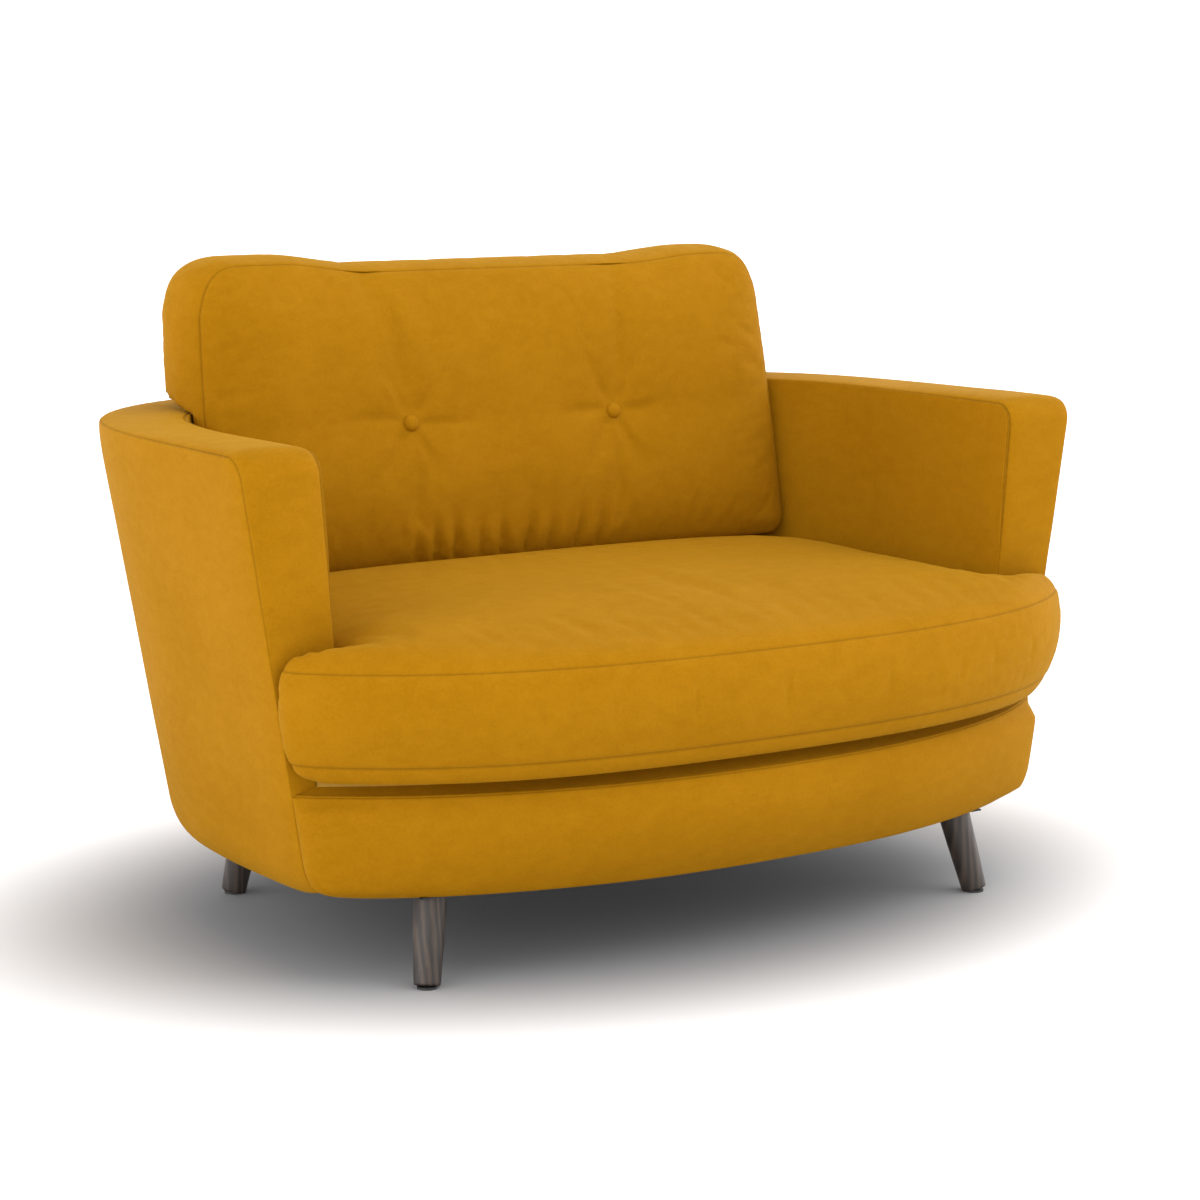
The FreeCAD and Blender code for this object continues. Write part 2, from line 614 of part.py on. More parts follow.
def make_back_cushion():
    fill = back_cushion_body(COVER)
    cover = back_cushion_body(0).cut(fill)
    slope = Vector(0, -1, BACK_LEAN).normalize()
    twines, rear_buttons, tunnels = [], [], []
    for name, side in SIDES:
        x = side * BUTTON_X
        probe = Part.makeLine(Vector(x, -200, BUTTON_HEIGHT), Vector(x, 600, BUTTON_HEIGHT))
        hits = sorted(v.Y for v in probe.common(back_cushion_body(0)).Vertexes)
        face, rear = hits[0], hits[-1]
        seat = Vector(x, face + BUTTON_SINK, BUTTON_HEIGHT)
        body = Part.makeCylinder(BUTTON_R, BUTTON_THICK * 0.45, seat, slope)
        crown_r = BUTTON_R * 1.3
        top = seat.add(Vector(slope).multiply(BUTTON_THICK * 0.45))
        ball = Part.makeSphere(crown_r, top.sub(Vector(slope).multiply(
            math.sqrt(crown_r ** 2 - BUTTON_R ** 2))))
        cap = ball.common(Part.makeCylinder(BUTTON_R, 3 * BUTTON_R, top, slope))
        button = body.fuse(cap).removeSplitter()
        twine = Part.makeCylinder(TWINE_R, rear - seat.y, seat, Vector(0, 1, 0))
        rear_seat = Vector(x, rear + BUTTON_SINK - REAR_BUTTON_THICK, BUTTON_HEIGHT)
        rear_button = Part.makeCylinder(BUTTON_R, REAR_BUTTON_THICK, rear_seat, Vector(0, 1, 0))
        parts[f"button_{name}"] = button.cut(twine)
        twines.append(twine.cut(rear_button))
        rear_buttons.append(rear_button)
        tunnels += [parts[f"button_{name}"], twine, rear_button]
    for tunnel in tunnels:
        fill = fill.cut(tunnel)
        cover = cover.cut(tunnel)
    zip_z = CUSHION_TOP + 30.0
    slot = box(-ZIP_HALF, ZIP_HALF, seam_y(zip_z) + BACK_CUSHION_THICK / 2, FAR,
               zip_z - ZIP_WIDTH / 2, zip_z + ZIP_WIDTH / 2)
    parts["back_cushion_fill"] = fill
    parts["back_cushion_cover"] = cover.cut(slot)
    parts["back_cushion_zip"] = cover.common(slot)
    parts["rear_buttons"] = Part.makeCompound(rear_buttons)
    parts["button_twines"] = Part.makeCompound(twines)


make_tub_upholstery()
make_frame()
make_front_rail_upholstery()
make_deck()
make_springs()
make_underside(make_legs())
make_seat_cushion()
make_back_cushion()

os.makedirs("parts", exist_ok=True)
for name, shape in parts.items():
    shape.exportStep(f"parts/{name}.step")
print(len(parts), "pieces")
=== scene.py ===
import json
import math

import bmesh
import bpy
import numpy as np
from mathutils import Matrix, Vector, geometry, noise


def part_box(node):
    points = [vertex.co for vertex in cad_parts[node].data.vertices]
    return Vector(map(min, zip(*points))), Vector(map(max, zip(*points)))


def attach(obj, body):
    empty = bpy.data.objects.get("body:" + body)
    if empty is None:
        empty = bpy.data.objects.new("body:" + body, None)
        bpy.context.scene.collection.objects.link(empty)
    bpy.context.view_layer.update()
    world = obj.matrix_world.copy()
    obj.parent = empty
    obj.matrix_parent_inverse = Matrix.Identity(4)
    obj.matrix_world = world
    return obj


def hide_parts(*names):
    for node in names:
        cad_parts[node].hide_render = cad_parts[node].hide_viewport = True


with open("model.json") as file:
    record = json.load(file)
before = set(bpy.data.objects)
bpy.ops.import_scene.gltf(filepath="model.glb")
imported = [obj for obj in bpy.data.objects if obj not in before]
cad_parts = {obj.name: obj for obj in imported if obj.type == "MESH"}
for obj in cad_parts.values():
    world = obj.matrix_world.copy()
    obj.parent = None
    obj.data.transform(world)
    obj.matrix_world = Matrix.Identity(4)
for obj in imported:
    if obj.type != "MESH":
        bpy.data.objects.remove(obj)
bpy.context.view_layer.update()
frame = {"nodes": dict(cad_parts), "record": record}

# ---- sizes of the sofa, in metres -----------------------------------------------------------
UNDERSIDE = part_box("outside_cover_left")[0].z
SHOULDER = 0.672            # height of the frame of arms and back
TOP_SEAM = 0.6685           # seam under the padded top of arms and back
RAIL_TOP = 0.248            # seam along the top of the front rail
DECK = 0.268
ARM_FRONT = -0.270
WIDEST = -0.080
CORNER_X = 0.330            # upright seams between back and arms
OUTER_SQUARENESS = 2.9
INNER_SQUARENESS = 3.1
EDGE_HEIGHT = 0.044
EDGE_TUCK = 0.016
ARM_CORNER = 0.028          # rounding of the seams at the top of an arm's front
SHOULDER_RISE = 0.0095      # crown of the padded top above its seams
ARM_FACE_RISE = 0.008       # crown of the padded front of an arm
SEAT_TOP_SEAM = 0.409
SEAT_BOTTOM_SEAM = 0.293
SEAT_EDGE = 0.440           # top of the seat cushion near its edges
SEAT_CROWN = 0.019          # how much higher its middle is
BACK_BOTTOM = 0.4408
BACK_BOTTOM_SEAM = 0.4432
BACK_TOP_SEAM = 0.8522
BACK_LEAN = 0.18
BACK_DEPTH = 0.150
BACK_BORDER = 0.112         # width of the border between the back cushion's two seams
BACK_PUFF = 0.040           # crown of its front
BUTTON_X = 0.168
BUTTON_Z = 0.644
LEG_FOOT_X = 0.438
LEG_HEAD_X = 0.418
# Each leg: name, side, depth of its foot, and how far behind that its head is.
LEGS = (("front_left", -1, -0.338, 0.026), ("front_right", 1, -0.338, 0.026),
        ("back_left", -1, 0.211, -0.011), ("back_right", 1, 0.211, -0.011))
SCREW_REACH = 0.028         # plate screws from the leg's centre
CLOTH = 0.003               # thickness of a cover with its lining
SEAM_RISE = 0.0009          # how far the cloth stands above its seams
SEAM_WIDTH = 0.0011


def lerp(low, high, share):
    return low + (high - low) * share


def smooth(value, start, end):
    share = np.clip((value - start) / (end - start), 0.0, 1.0)
    return share * share * (3.0 - 2.0 * share)


def outer_half(z):
    return lerp(0.566, 0.652, (z - 0.116) / (SHOULDER - 0.116))


def outer_back(z):
    return lerp(0.397, 0.488, (z - 0.116) / (SHOULDER - 0.116))


def inner_half(z):
    return outer_half(z) - lerp(0.076, 0.107, (z - DECK) / (SHOULDER - DECK))


def inner_back(z):
    return outer_back(z) - lerp(0.118, 0.110, (z - DECK) / (SHOULDER - DECK))


def edge_tuck(z):
    rise = np.clip((z - 0.116) / EDGE_HEIGHT, 0.0, 1.0)
    return EDGE_TUCK * (1.0 - np.sqrt(1.0 - (1.0 - rise) ** 2))


def arm_front(z):
    """Front edge of an arm at height z: upright, then rounded over below the padded top."""
    above = np.clip(z - (TOP_SEAM - ARM_CORNER), 0.0, ARM_CORNER)
    return ARM_FRONT + ARM_CORNER - np.sqrt(ARM_CORNER ** 2 - above ** 2)


def seam_y(z):
    """Depth of the back cushion's front seam at height z."""
    return 0.170 + BACK_LEAN * (z - 0.440)


# ---- lines ----------------------------------------------------------------------------------
def lengths(points):
    """Distance along a polyline to each of its points."""
    steps = np.linalg.norm(np.diff(points, axis=0), axis=1)
    return np.concatenate([[0.0], np.cumsum(steps)])


def pick(points, distances):
    """Points of a polyline at the given distances along it."""
    along = lengths(points)
    return np.stack([np.interp(distances, along, points[:, i]) for i in range(points.shape[1])], 1)


def tub_line(half, back, squareness, front):
    """Right side from the front, round the back, to the left side."""
    turn = np.linspace(0.0, math.pi, 721)
    across, behind = np.cos(turn), np.clip(np.sin(turn), 0.0, 1.0)
    x = half * np.sign(across) * np.abs(across) ** (2 / squareness)
    y = WIDEST + (back - WIDEST) * behind ** (2 / squareness)
    curve = np.stack([x, y], 1)
    straight = np.linspace(front, WIDEST, 20)[:-1]
    right = np.stack([np.full(19, half), straight], 1)
    left = np.stack([np.full(19, -half), straight[::-1]], 1)
    return np.concatenate([right, curve, left])


def bow_line(half, start, depth, spread=1.21, squareness=2.09):
    """From the left end round the front to the right end."""
    x = -half * np.cos(np.linspace(0.0, math.pi, 361))
    end_rise = (1 - (1 / spread) ** squareness) ** (1 / squareness)
    rise = (1 - (np.abs(x) / (half * spread)) ** squareness) ** (1 / squareness)
    return np.stack([x, start - depth * (rise - end_rise) / (1 - end_rise)], 1)


NEAR_SEAM = (0.0, 0.0006, 0.0013, 0.0022, 0.0040, 0.0075, 0.0130)


def stations(length, step, start=True, end=True):
    """Distances from 0 to length, closer together beside a seam."""
    low = list(NEAR_SEAM) if start else [0.0]
    high = [length - d for d in reversed(NEAR_SEAM)] if end else [length]
    count = max(2, int(round((high[0] - low[-1]) / step)))
    middle = np.linspace(low[-1], high[0], count + 1)[1:-1]
    return np.concatenate([low, middle, high])


def rough(points, scale, seed=0.0):
    """Smooth unevenness between about -1 and 1 at each point."""
    shift = Vector((seed * 3.7, seed * 1.3, seed * 2.1))
    return np.array([noise.noise(Vector(p) * scale + shift) for p in points])


# ---- meshes ---------------------------------------------------------------------------------
def add_piece(name, verts, faces, seam=None):
    mesh = bpy.data.meshes.new(name)
    mesh.from_pydata([tuple(v) for v in verts], [], [tuple(f) for f in faces])
    work = bmesh.new()
    work.from_mesh(mesh)
    bmesh.ops.recalc_face_normals(work, faces=work.faces)
    work.to_mesh(mesh)
    work.free()
    mesh.shade_smooth()
    # The seam attribute holds, per point, how much painted seam shade the velvet puts there: a darker line
    # standing in for the shadow in the stitching.
    if seam is not None:
        mark = mesh.attributes.new("seam", "FLOAT", "POINT")
        mark.data.foreach_set("value", np.asarray(seam, np.float32))
    piece = bpy.data.objects.new(name, mesh)
    bpy.context.scene.collection.objects.link(piece)
    return piece


def grid_faces(rows, columns, start=0, closed=False, flip=False):
    faces = []
    span = columns if closed else columns - 1
    for r in range(rows - 1):
        for c in range(span):
            a = start + r * columns + c
            b = start + r * columns + (c + 1) % columns
            face = (a, b, b + columns, a + columns)
            faces.append(face[::-1] if flip else face)
    return faces


def doubled(outside, inside):
    """One closed skin from a grid of outer points and a grid of inner points."""
    rows, columns = outside.shape[:2]
    total = rows * columns
    faces = grid_faces(rows, columns) + grid_faces(rows, columns, total, flip=True)
    rim = list(range(columns))
    rim += [r * columns + columns - 1 for r in range(1, rows)]
    rim += [(rows - 1) * columns + c for c in range(columns - 2, -1, -1)]
    rim += [r * columns for r in range(rows - 2, 0, -1)]
    for a, b in zip(rim, rim[1:] + rim[:1]):
        faces.append((b, a, a + total, b + total))
    return np.concatenate([outside.reshape(-1, 3), inside.reshape(-1, 3)]), faces


def slab(flat, high, low, faces, rim):
    """A closed skin from a filled outline at two heights. rim is the outline's point count."""
    count = len(flat)
    verts = np.concatenate([np.column_stack([flat, high]), np.column_stack([flat, low])])
    closed = list(faces) + [tuple(v + count for v in reversed(f)) for f in faces]
    for i in range(rim):
        j = (i + 1) % rim
        closed.append((i, j, j + count, i + count))
    return verts, closed


def joined_rings(count, starts):
    """Faces between rings of count points, given the first point of each ring."""
    faces = []
    for a, b in zip(starts, starts[1:]):
        for i in range(count):
            j = (i + 1) % count
            faces.append((a + i, b + i, b + j, a + j))
    return faces


def grid_normals(grid):
    down = np.gradient(grid, axis=0)
    along = np.gradient(grid, axis=1)
    normal = np.cross(along, down)
    return normal / np.maximum(np.linalg.norm(normal, axis=2, keepdims=True), 1e-9)


def edge_distances(grid):
    """Distance along the surface from each point to the first and last row and column."""
    steps = np.linalg.norm(np.diff(grid, axis=0), axis=2)
    down = np.concatenate([np.zeros((1, grid.shape[1])), np.cumsum(steps, 0)])
    steps = np.linalg.norm(np.diff(grid, axis=1), axis=2)
    along = np.concatenate([np.zeros((grid.shape[0], 1)), np.cumsum(steps, 1)], 1)
    return down, down[-1:] - down, along, along[:, -1:] - along


def stitched(distance, along):
    """Height of the cloth beside a seam, with its small puckers."""
    rise = SEAM_RISE * (1 - np.exp(-(distance / SEAM_WIDTH) ** 2))
    wave = np.sin(along * 2 * math.pi / 0.021 + 2.2 * np.sin(along * 2 * math.pi / 0.173))
    return rise + 0.00035 * wave * np.exp(-distance / 0.009) * (distance / 0.004).clip(0, 1)


# Strength of the painted seam shade at a distance from a seam: 1 on the seam, fading out within about a
# millimetre. The velvet darkens by it, standing in for the shadow in the stitch line.
def painted_seam_shade(distance):
    return np.exp(-(distance / 0.0005) ** 2)


def quilt(name, grid, seams, puff=0.0, reach=0.05, outward=1, extra=None, uneven=0.0):
    """A closed cover from a grid of base points. seams says which of its edges (first row,
    last row, first column, last column) are sewn."""
    normal = grid_normals(grid) * outward
    edges = edge_distances(grid)
    away = [edges[i] for i in range(4) if seams[i]]
    near = np.minimum.reduce(away) if away else np.full(grid.shape[:2], 1.0)
    beside = np.where((near == edges[0]) | (near == edges[1]), edges[2], edges[0])
    height = stitched(near, beside) + puff * (1 - np.exp(-near / reach))
    if extra is not None:
        height = height + extra
    if uneven:
        bumps = rough(grid.reshape(-1, 3), 5.0, len(name)).reshape(near.shape)
        height = height + uneven * bumps * (1 - np.exp(-near / 0.05))
    outside = grid + normal * height[..., None]
    inside = grid - normal * CLOTH
    verts, faces = doubled(outside, inside)
    mark = np.concatenate([painted_seam_shade(near).ravel(), np.zeros(near.size)])
    return add_piece(name, verts, faces, mark)


def fill_outline(loop, rings, step):
    """Triangles inside a closed 2-D outline, finer beside it. Returns points, distances to
    the outline, and faces; the outline's own points come first."""
    n = len(loop)
    ahead, behind = np.roll(loop, -1, 0), np.roll(loop, 1, 0)
    tangent = ahead - behind
    tangent /= np.linalg.norm(tangent, axis=1, keepdims=True)
    inward = np.stack([-tangent[:, 1], tangent[:, 0]], 1)
    area = np.sum(loop[:, 0] * ahead[:, 1] - ahead[:, 0] * loop[:, 1])
    if area < 0:
        inward = -inward

    def distance(points):
        found = np.full(len(points), 9.0)
        edge = ahead - loop
        size = np.sum(edge * edge, 1)
        for i in range(0, len(points), 2000):
            p = points[i:i + 2000, None, :] - loop[None]
            t = np.clip(np.sum(p * edge[None], 2) / size, 0, 1)
            found[i:i + 2000] = np.linalg.norm(p - t[..., None] * edge[None], axis=2).min(1)
        return found

    def inside(points):
        hit = np.zeros(len(points), bool)
        for a, b in zip(loop, ahead):
            crosses = (a[1] > points[:, 1]) != (b[1] > points[:, 1])
            x = a[0] + (points[:, 1] - a[1]) / (b[1] - a[1] + 1e-12) * (b[0] - a[0])
            hit ^= crosses & (points[:, 0] < x)
        return hit

    chosen = [loop]
    for k, gap in enumerate(rings):
        ring = (loop + inward * gap)[(k % 2)::max(1, int(gap / 0.009))]
        keep = inside(ring)
        ring = ring[keep]
        chosen.append(ring[distance(ring) > 0.93 * gap])
    low, high = loop.min(0), loop.max(0)
    rows = np.arange(low[1], high[1], step * 0.866)
    lattice = []
    for i, y in enumerate(rows):
        x = np.arange(low[0] + (i % 2) * step / 2, high[0], step)
        lattice.append(np.stack([x, np.full(len(x), y)], 1))
    lattice = np.concatenate(lattice)
    lattice = lattice[inside(lattice)]
    chosen.append(lattice[distance(lattice) > rings[-1] + 0.5 * step])
    points = np.concatenate(chosen)
    coords = [Vector(p) for p in points]
    outline = [(i, (i + 1) % n) for i in range(n)]
    found = geometry.delaunay_2d_cdt(coords, outline, [], 1, 1e-7)
    verts = np.array([tuple(v) for v in found[0]])
    order = [-1] * len(verts)
    for new, olds in enumerate(found[3]):
        for old in olds:
            if old < n:
                order[new] = old
    first = {old: new for new, old in enumerate(order) if old >= 0}
    rest = [new for new in range(len(verts)) if order[new] < 0]
    renamed = {first[i]: i for i in range(n)}
    for k, new in enumerate(rest):
        renamed[new] = n + k
    verts = np.concatenate([loop, verts[rest]])
    faces = [tuple(renamed[v] for v in face) for face in found[2]]
    return verts, np.concatenate([np.zeros(n), distance(verts[n:])]), faces


def round_corners(loop, radius_passes):
    """Relaxes a closed line, more where radius_passes is larger."""
    line = loop.copy()
    for k in range(int(radius_passes.max())):
        share = (0.5 * (k < radius_passes))[:, None]
        line = line * (1 - share) + share * 0.5 * (np.roll(line, 1, 0) + np.roll(line, -1, 0))
    return line


def even_loop(points, count):
    closed = np.concatenate([points, points[:1]])
    total = lengths(closed)[-1]
    return pick(closed, np.arange(count) * total / count)


# ---- arms and back --------------------------------------------------------------------------
def tub_sections(half, back, squareness, front):
    """The tub's outline as its right arm, back and left arm."""
    line = tub_line(half, back, squareness, front)
    along = lengths(line)
    behind = line[:, 1] > WIDEST
    x = np.where(behind, line[:, 0], np.where(np.arange(len(line)) < 200, 1.0, -1.0))
    right = np.interp(-CORNER_X, -x, along)
    left = np.interp(CORNER_X, -x, along)
    cuts = {"right": (0.0, right), "back": (right, left), "left": (left, along[-1])}
    return {name: (line, low, high) for name, (low, high) in cuts.items()}


def wall_grid(levels, outline, name, share):
    rows = []
    for level in levels:
        z, half, back, squareness, front = outline(level)
        line, low, high = tub_sections(half, back, squareness, front)[name]
        flat = pick(line, low + (high - low) * share)
        rows.append(np.column_stack([flat, np.full(len(flat), z)]))
    return np.array(rows)


HEM = (0.022, 0.014, 0.007, 0.002)


def lifted_edge(z, beside):
    """The bottom edge rides up a little, more so beside the seams of the front rail."""
    return (0.0020 + 0.0065 * np.exp(-beside / 0.060)) * (1 - smooth(z, 0.116, 0.165))


def outside_outline(level):
    """level is a height, or below the underside the width of the hem turned under."""
    if level < 0:
        z, inset = 0.116, -level
    else:
        z, inset = level, 0.0
    tuck = edge_tuck(z) + inset
    return z, outer_half(z) - tuck, outer_back(z) - tuck, OUTER_SQUARENESS, arm_front(z)


def inside_outline(z):
    return z, inner_half(z), inner_back(z), INNER_SQUARENESS, arm_front(z)


def make_outside_covers():
    rise = 1 - np.cos(np.linspace(0, math.pi / 2, 9))
    edge = 0.116 + EDGE_HEIGHT * rise
    body = 0.116 + EDGE_HEIGHT + stations(TOP_SEAM - 0.116 - EDGE_HEIGHT, 0.009, start=False)
    levels = [-h for h in HEM] + list(edge) + list(body[1:])
    pieces = {}
    for name, length in (("right", 0.80), ("back", 0.80), ("left", 0.80)):
        share = stations(length, 0.008) / length
        grid = wall_grid(levels, outside_outline, name, share)
        grid[..., 2] += lifted_edge(grid[..., 2], grid[..., 1] - ARM_FRONT)
        piece = quilt(f"outside_cloth_{name}", grid, (False, True, True, True),
                      puff=0.0062, reach=0.018, outward=1, uneven=0.0012)
        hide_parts(f"outside_cover_{name}")
        pieces[name] = piece
    return pieces


def make_inside_covers():
    levels = 0.262 + stations(TOP_SEAM - 0.262, 0.009)
    pieces = {}
    for name in ("right", "back", "left"):
        share = stations(0.72, 0.008) / 0.72
        grid = wall_grid(levels, inside_outline, name, share)
        puff = 0.004 * smooth(grid[..., 2], 0.44, 0.58)
        piece = quilt(f"inside_cloth_{name}", grid, (False, True, True, True),
                      extra=puff, outward=-1, uneven=0.0006)
        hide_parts(f"inside_cover_{name}", f"inside_foam_{name}")
        pieces[name] = piece
    return pieces


def make_padded_tops():
    """One strip of cloth over each arm and the back, and down the front of the arms."""
    across = (1 - np.cos(np.linspace(0, math.pi, 27))) / 2
    seam_side = np.array([0.0, 0.008, 0.018, 0.032, 0.055])
    across = np.unique(np.concatenate([seam_side, across[(across > 0.07) & (across < 0.93)],
                                       1 - seam_side]))
    bend = TOP_SEAM - ARM_CORNER
    upright = 0.2455 + stations(bend - 0.2455, 0.008, start=False, end=False)[:-1]
    turn = np.linspace(0, math.pi / 2, 10)[:-1]
    outer = tub_sections(outer_half(TOP_SEAM), outer_back(TOP_SEAM),
                         OUTER_SQUARENESS, ARM_FRONT + ARM_CORNER)
    inner = tub_sections(inner_half(TOP_SEAM), inner_back(TOP_SEAM),
                         INNER_SQUARENESS, ARM_FRONT + ARM_CORNER)
    for name, side in (("right", 1), ("back", 0), ("left", -1)):
        share = stations(0.78, 0.008, start=name != "right", end=name != "left") / 0.78
        ends = []
        for line, low, high in (outer[name], inner[name]):
            flat = pick(line, low + (high - low) * share)
            ends.append(np.column_stack([flat, np.full(len(flat), TOP_SEAM)]))
        normal = np.tile([0.0, 0.0, 1.0], (len(share), 1))
        rise = SHOULDER_RISE * (1 - 0.52 * smooth(ends[0][:, 1], -0.25, 0.10))
        if side:
            front_ends = []
            for half in (outer_half, inner_half):
                z = np.concatenate([upright, bend + ARM_CORNER * np.sin(turn)])
                y = np.concatenate([np.full(len(upright), ARM_FRONT),
                                    ARM_FRONT + ARM_CORNER * (1 - np.cos(turn))])
                x = half(z) - (edge_tuck(z) if half is outer_half else 0.0)
                front_ends.append(np.column_stack([side * x, y, z]))
            angle = np.concatenate([np.zeros(len(upright)), turn])
            face_normal = np.column_stack([0 * angle, -np.cos(angle), np.sin(angle)])
            z = front_ends[0][:, 2]
            face_rise = 0.0008 + (ARM_FACE_RISE - 0.0008) * smooth(z, 0.425, 0.50)
            face_rise = lerp(face_rise, SHOULDER_RISE, smooth(angle, 0.0, math.pi / 2))
            joined = []
            for face, top in ((front_ends[0], ends[0]), (front_ends[1], ends[1]),
                              (face_normal, normal), (face_rise, rise)):
                parts = [face, top] if side > 0 else [top, face[::-1]]
                joined.append(np.concatenate(parts))
            ends, normal, rise = joined[:2], joined[2], joined[3]
        base = ends[0][None] + (ends[1] - ends[0])[None] * across[:, None, None]
        width = np.linalg.norm(ends[1] - ends[0], axis=1)
        crown = (1 - np.abs(2 * across - 1) ** 2.6) ** (1 / 2.2)
        lift = crown[:, None] * rise[None]
        near = np.minimum(across, 1 - across)[:, None] * width[None]
        along = lengths(base[len(across) // 2])
        row_end = [along[-1] - along if side > 0 else along] if side else [along, along[-1] - along]
        joint = np.minimum.reduce(row_end)
        lift = lift - 0.002 * np.exp(-(joint[None] / 0.0024) ** 2)
        side_wave = stitched(near, np.tile(along, (len(across), 1))) - SEAM_RISE
        lift = lift + side_wave * np.minimum(1, near / 0.003)
        bumps = rough(base.reshape(-1, 3), 7.0, 5).reshape(near.shape)
        lift = lift + 0.0008 * bumps * crown[:, None]
        outside = base + normal[None] * lift[..., None]
        inside = base - normal[None] * 0.004
        verts, faces = doubled(outside, inside)
        sewn = np.minimum(near, np.tile(joint, (len(near), 1)))
        mark = np.concatenate([painted_seam_shade(sewn).ravel(), np.zeros(near.size)])
        piece = add_piece(f"padded_top_{name}", verts, faces, mark)
        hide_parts(f"shoulder_cover_{name}", f"shoulder_foam_{name}")
        if side:
            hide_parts(f"arm_front_cover_{name}", f"arm_front_foam_{name}")
        dress(piece, "velvet", "root")


# ---- front rail and deck --------------------------------------------------------------------
def rail_depth(z):
    rise = np.clip((z - 0.116) / (RAIL_TOP - 0.116), 0.0, 1.0)
    return 0.178 - 0.032 * (1 - rise) ** 3 + 0.007 * np.sin(math.pi * rise ** 2)


def rail_row(z, inset, share):
    tuck = edge_tuck(z) + inset
    line = bow_line(outer_half(z) - tuck, ARM_FRONT, rail_depth(z) - inset)
    flat = pick(line, share * lengths(line)[-1])
    return np.column_stack([flat, np.full(len(flat), z)])


def make_front_rail():
    share = stations(1.30, 0.008) / 1.30
    rise = 1 - np.cos(np.linspace(0, math.pi / 2, 9))
    heights = list(0.116 + EDGE_HEIGHT * rise)
    body = 0.116 + EDGE_HEIGHT + stations(RAIL_TOP - 0.116 - EDGE_HEIGHT, 0.008, start=False)
    rows = [rail_row(0.116, h, share) for h in HEM]
    rows += [rail_row(z, 0.0, share) for z in heights + list(body[1:])]
    grid = np.array(rows)
    ends = edge_distances(grid)
    side = np.minimum(ends[2], ends[3])
    full = 0.026 * (1 - np.exp(-side / 0.013)) * np.exp(-side / 0.08)
    full = full * smooth(grid[..., 2], 0.110, 0.132) * smooth(RAIL_TOP - grid[..., 2], 0.0, 0.024)
    grid[..., 2] += lifted_edge(grid[..., 2], side)
    face = quilt("front_rail_cloth", grid, (False, True, True, True),
                 puff=0.0015, reach=0.02, extra=full, outward=1, uneven=0.0010)
    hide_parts("front_rail_cover", "front_rail_foam")
    dress(face, "velvet", "root")
    rows = [(RAIL_TOP, 0.0), (RAIL_TOP + 0.0006, 0.0008), (RAIL_TOP + 0.0012, 0.0020)]
    for inset in (0.004, 0.008, 0.013, 0.020, 0.028, 0.036, 0.044, 0.052, 0.060, 0.070):
        rows.append((RAIL_TOP + 0.0015 + 0.0175 * float(smooth(inset, 0.002, 0.058)), inset))
    grid = []
    for z, inset in rows:
        line = bow_line(outer_half(z) - 0.001 - inset, ARM_FRONT, rail_depth(z) - inset)
        flat = pick(line, share * lengths(line)[-1])
        grid.append(np.column_stack([flat, np.full(len(flat), z)]))
    roll = quilt("rail_roll_cloth", np.array(grid), (True, False, True, True), outward=1)
    dress(roll, "velvet", "root")


def deck_loop(inset):
    """Outline of the sprung deck: the rail's bow in front, the inside of the tub behind."""
    z = DECK
    bow = bow_line(outer_half(z) - 0.030 - inset, ARM_FRONT, rail_depth(z) - 0.030 - inset)
    tub = tub_line(inner_half(z) - inset, inner_back(z) - inset, INNER_SQUARENESS, ARM_FRONT)
    bow = bow[np.abs(bow[:, 0]) < outer_half(z) - 0.034 - inset]
    return np.concatenate([bow, tub])


def make_deck():
    loop = even_loop(deck_loop(0.0006), 420)
    flat, near, faces = fill_outline(loop, (0.003, 0.007, 0.013, 0.022), 0.018)
    quilted = 0.5 + 0.5 * np.cos(flat[:, 0] * 2 * math.pi / 0.12)
    sag = 0.0022 * smooth(near, 0.01, 0.10) * quilted
    top = DECK - 0.0030 + 0.0028 * (1 - np.exp(-near / 0.008)) - sag
    count = len(flat)
    verts, all_faces = slab(flat, top, np.full(count, DECK - 0.022), faces, len(loop))
    piece = add_piece("deck_cloth", verts, all_faces, np.zeros(2 * count))
    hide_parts("deck_cover", "deck_pad")
    dress(piece, "deck_cloth", "root")


def make_dust_cover():
    z = UNDERSIDE
    half = outer_half(z) - edge_tuck(z) - 0.014
    bow = bow_line(half, ARM_FRONT, rail_depth(z) - 0.014)
    tub = tub_line(half, outer_back(z) - edge_tuck(z) - 0.014, OUTER_SQUARENESS, ARM_FRONT)
    loop = even_loop(np.concatenate([bow, tub]), 360)
    flat, near, faces = fill_outline(loop, (0.004, 0.010, 0.020), 0.022)
    sag = 0.0030 * smooth(near, 0.0, 0.12)
    creases = rough(np.column_stack([flat, near]), 14.0, 9) * 0.0006 * smooth(near, 0.0, 0.03)
    low = z - 0.0010 - sag + creases
    verts, all_faces = slab(flat, low, low + 0.0007, faces, len(loop))
    piece = add_piece("dust_cloth", verts, all_faces)
    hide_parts("dust_cover")
    dress(piece, "dust_cloth", "root")
    staples = along_line("staples", even_loop(loop * 0.985, 130), z - 0.0015, staple_shape(), "steel")
    dress(staples, "steel", "root")


# ---- cloth settling over the cushions -------------------------------------------------------
def evened(field, edges, turns):
    """A field of vectors averaged over neighbouring points, again and again."""
    count = np.bincount(edges.ravel(), minlength=len(field)).clip(1)[:, None]
    for _ in range(turns):
        total = np.zeros_like(field)
        np.add.at(total, edges[:, 0], field[edges[:, 1]])
        np.add.at(total, edges[:, 1], field[edges[:, 0]])
        field = 0.35 * field + 0.65 * total / count
    return field


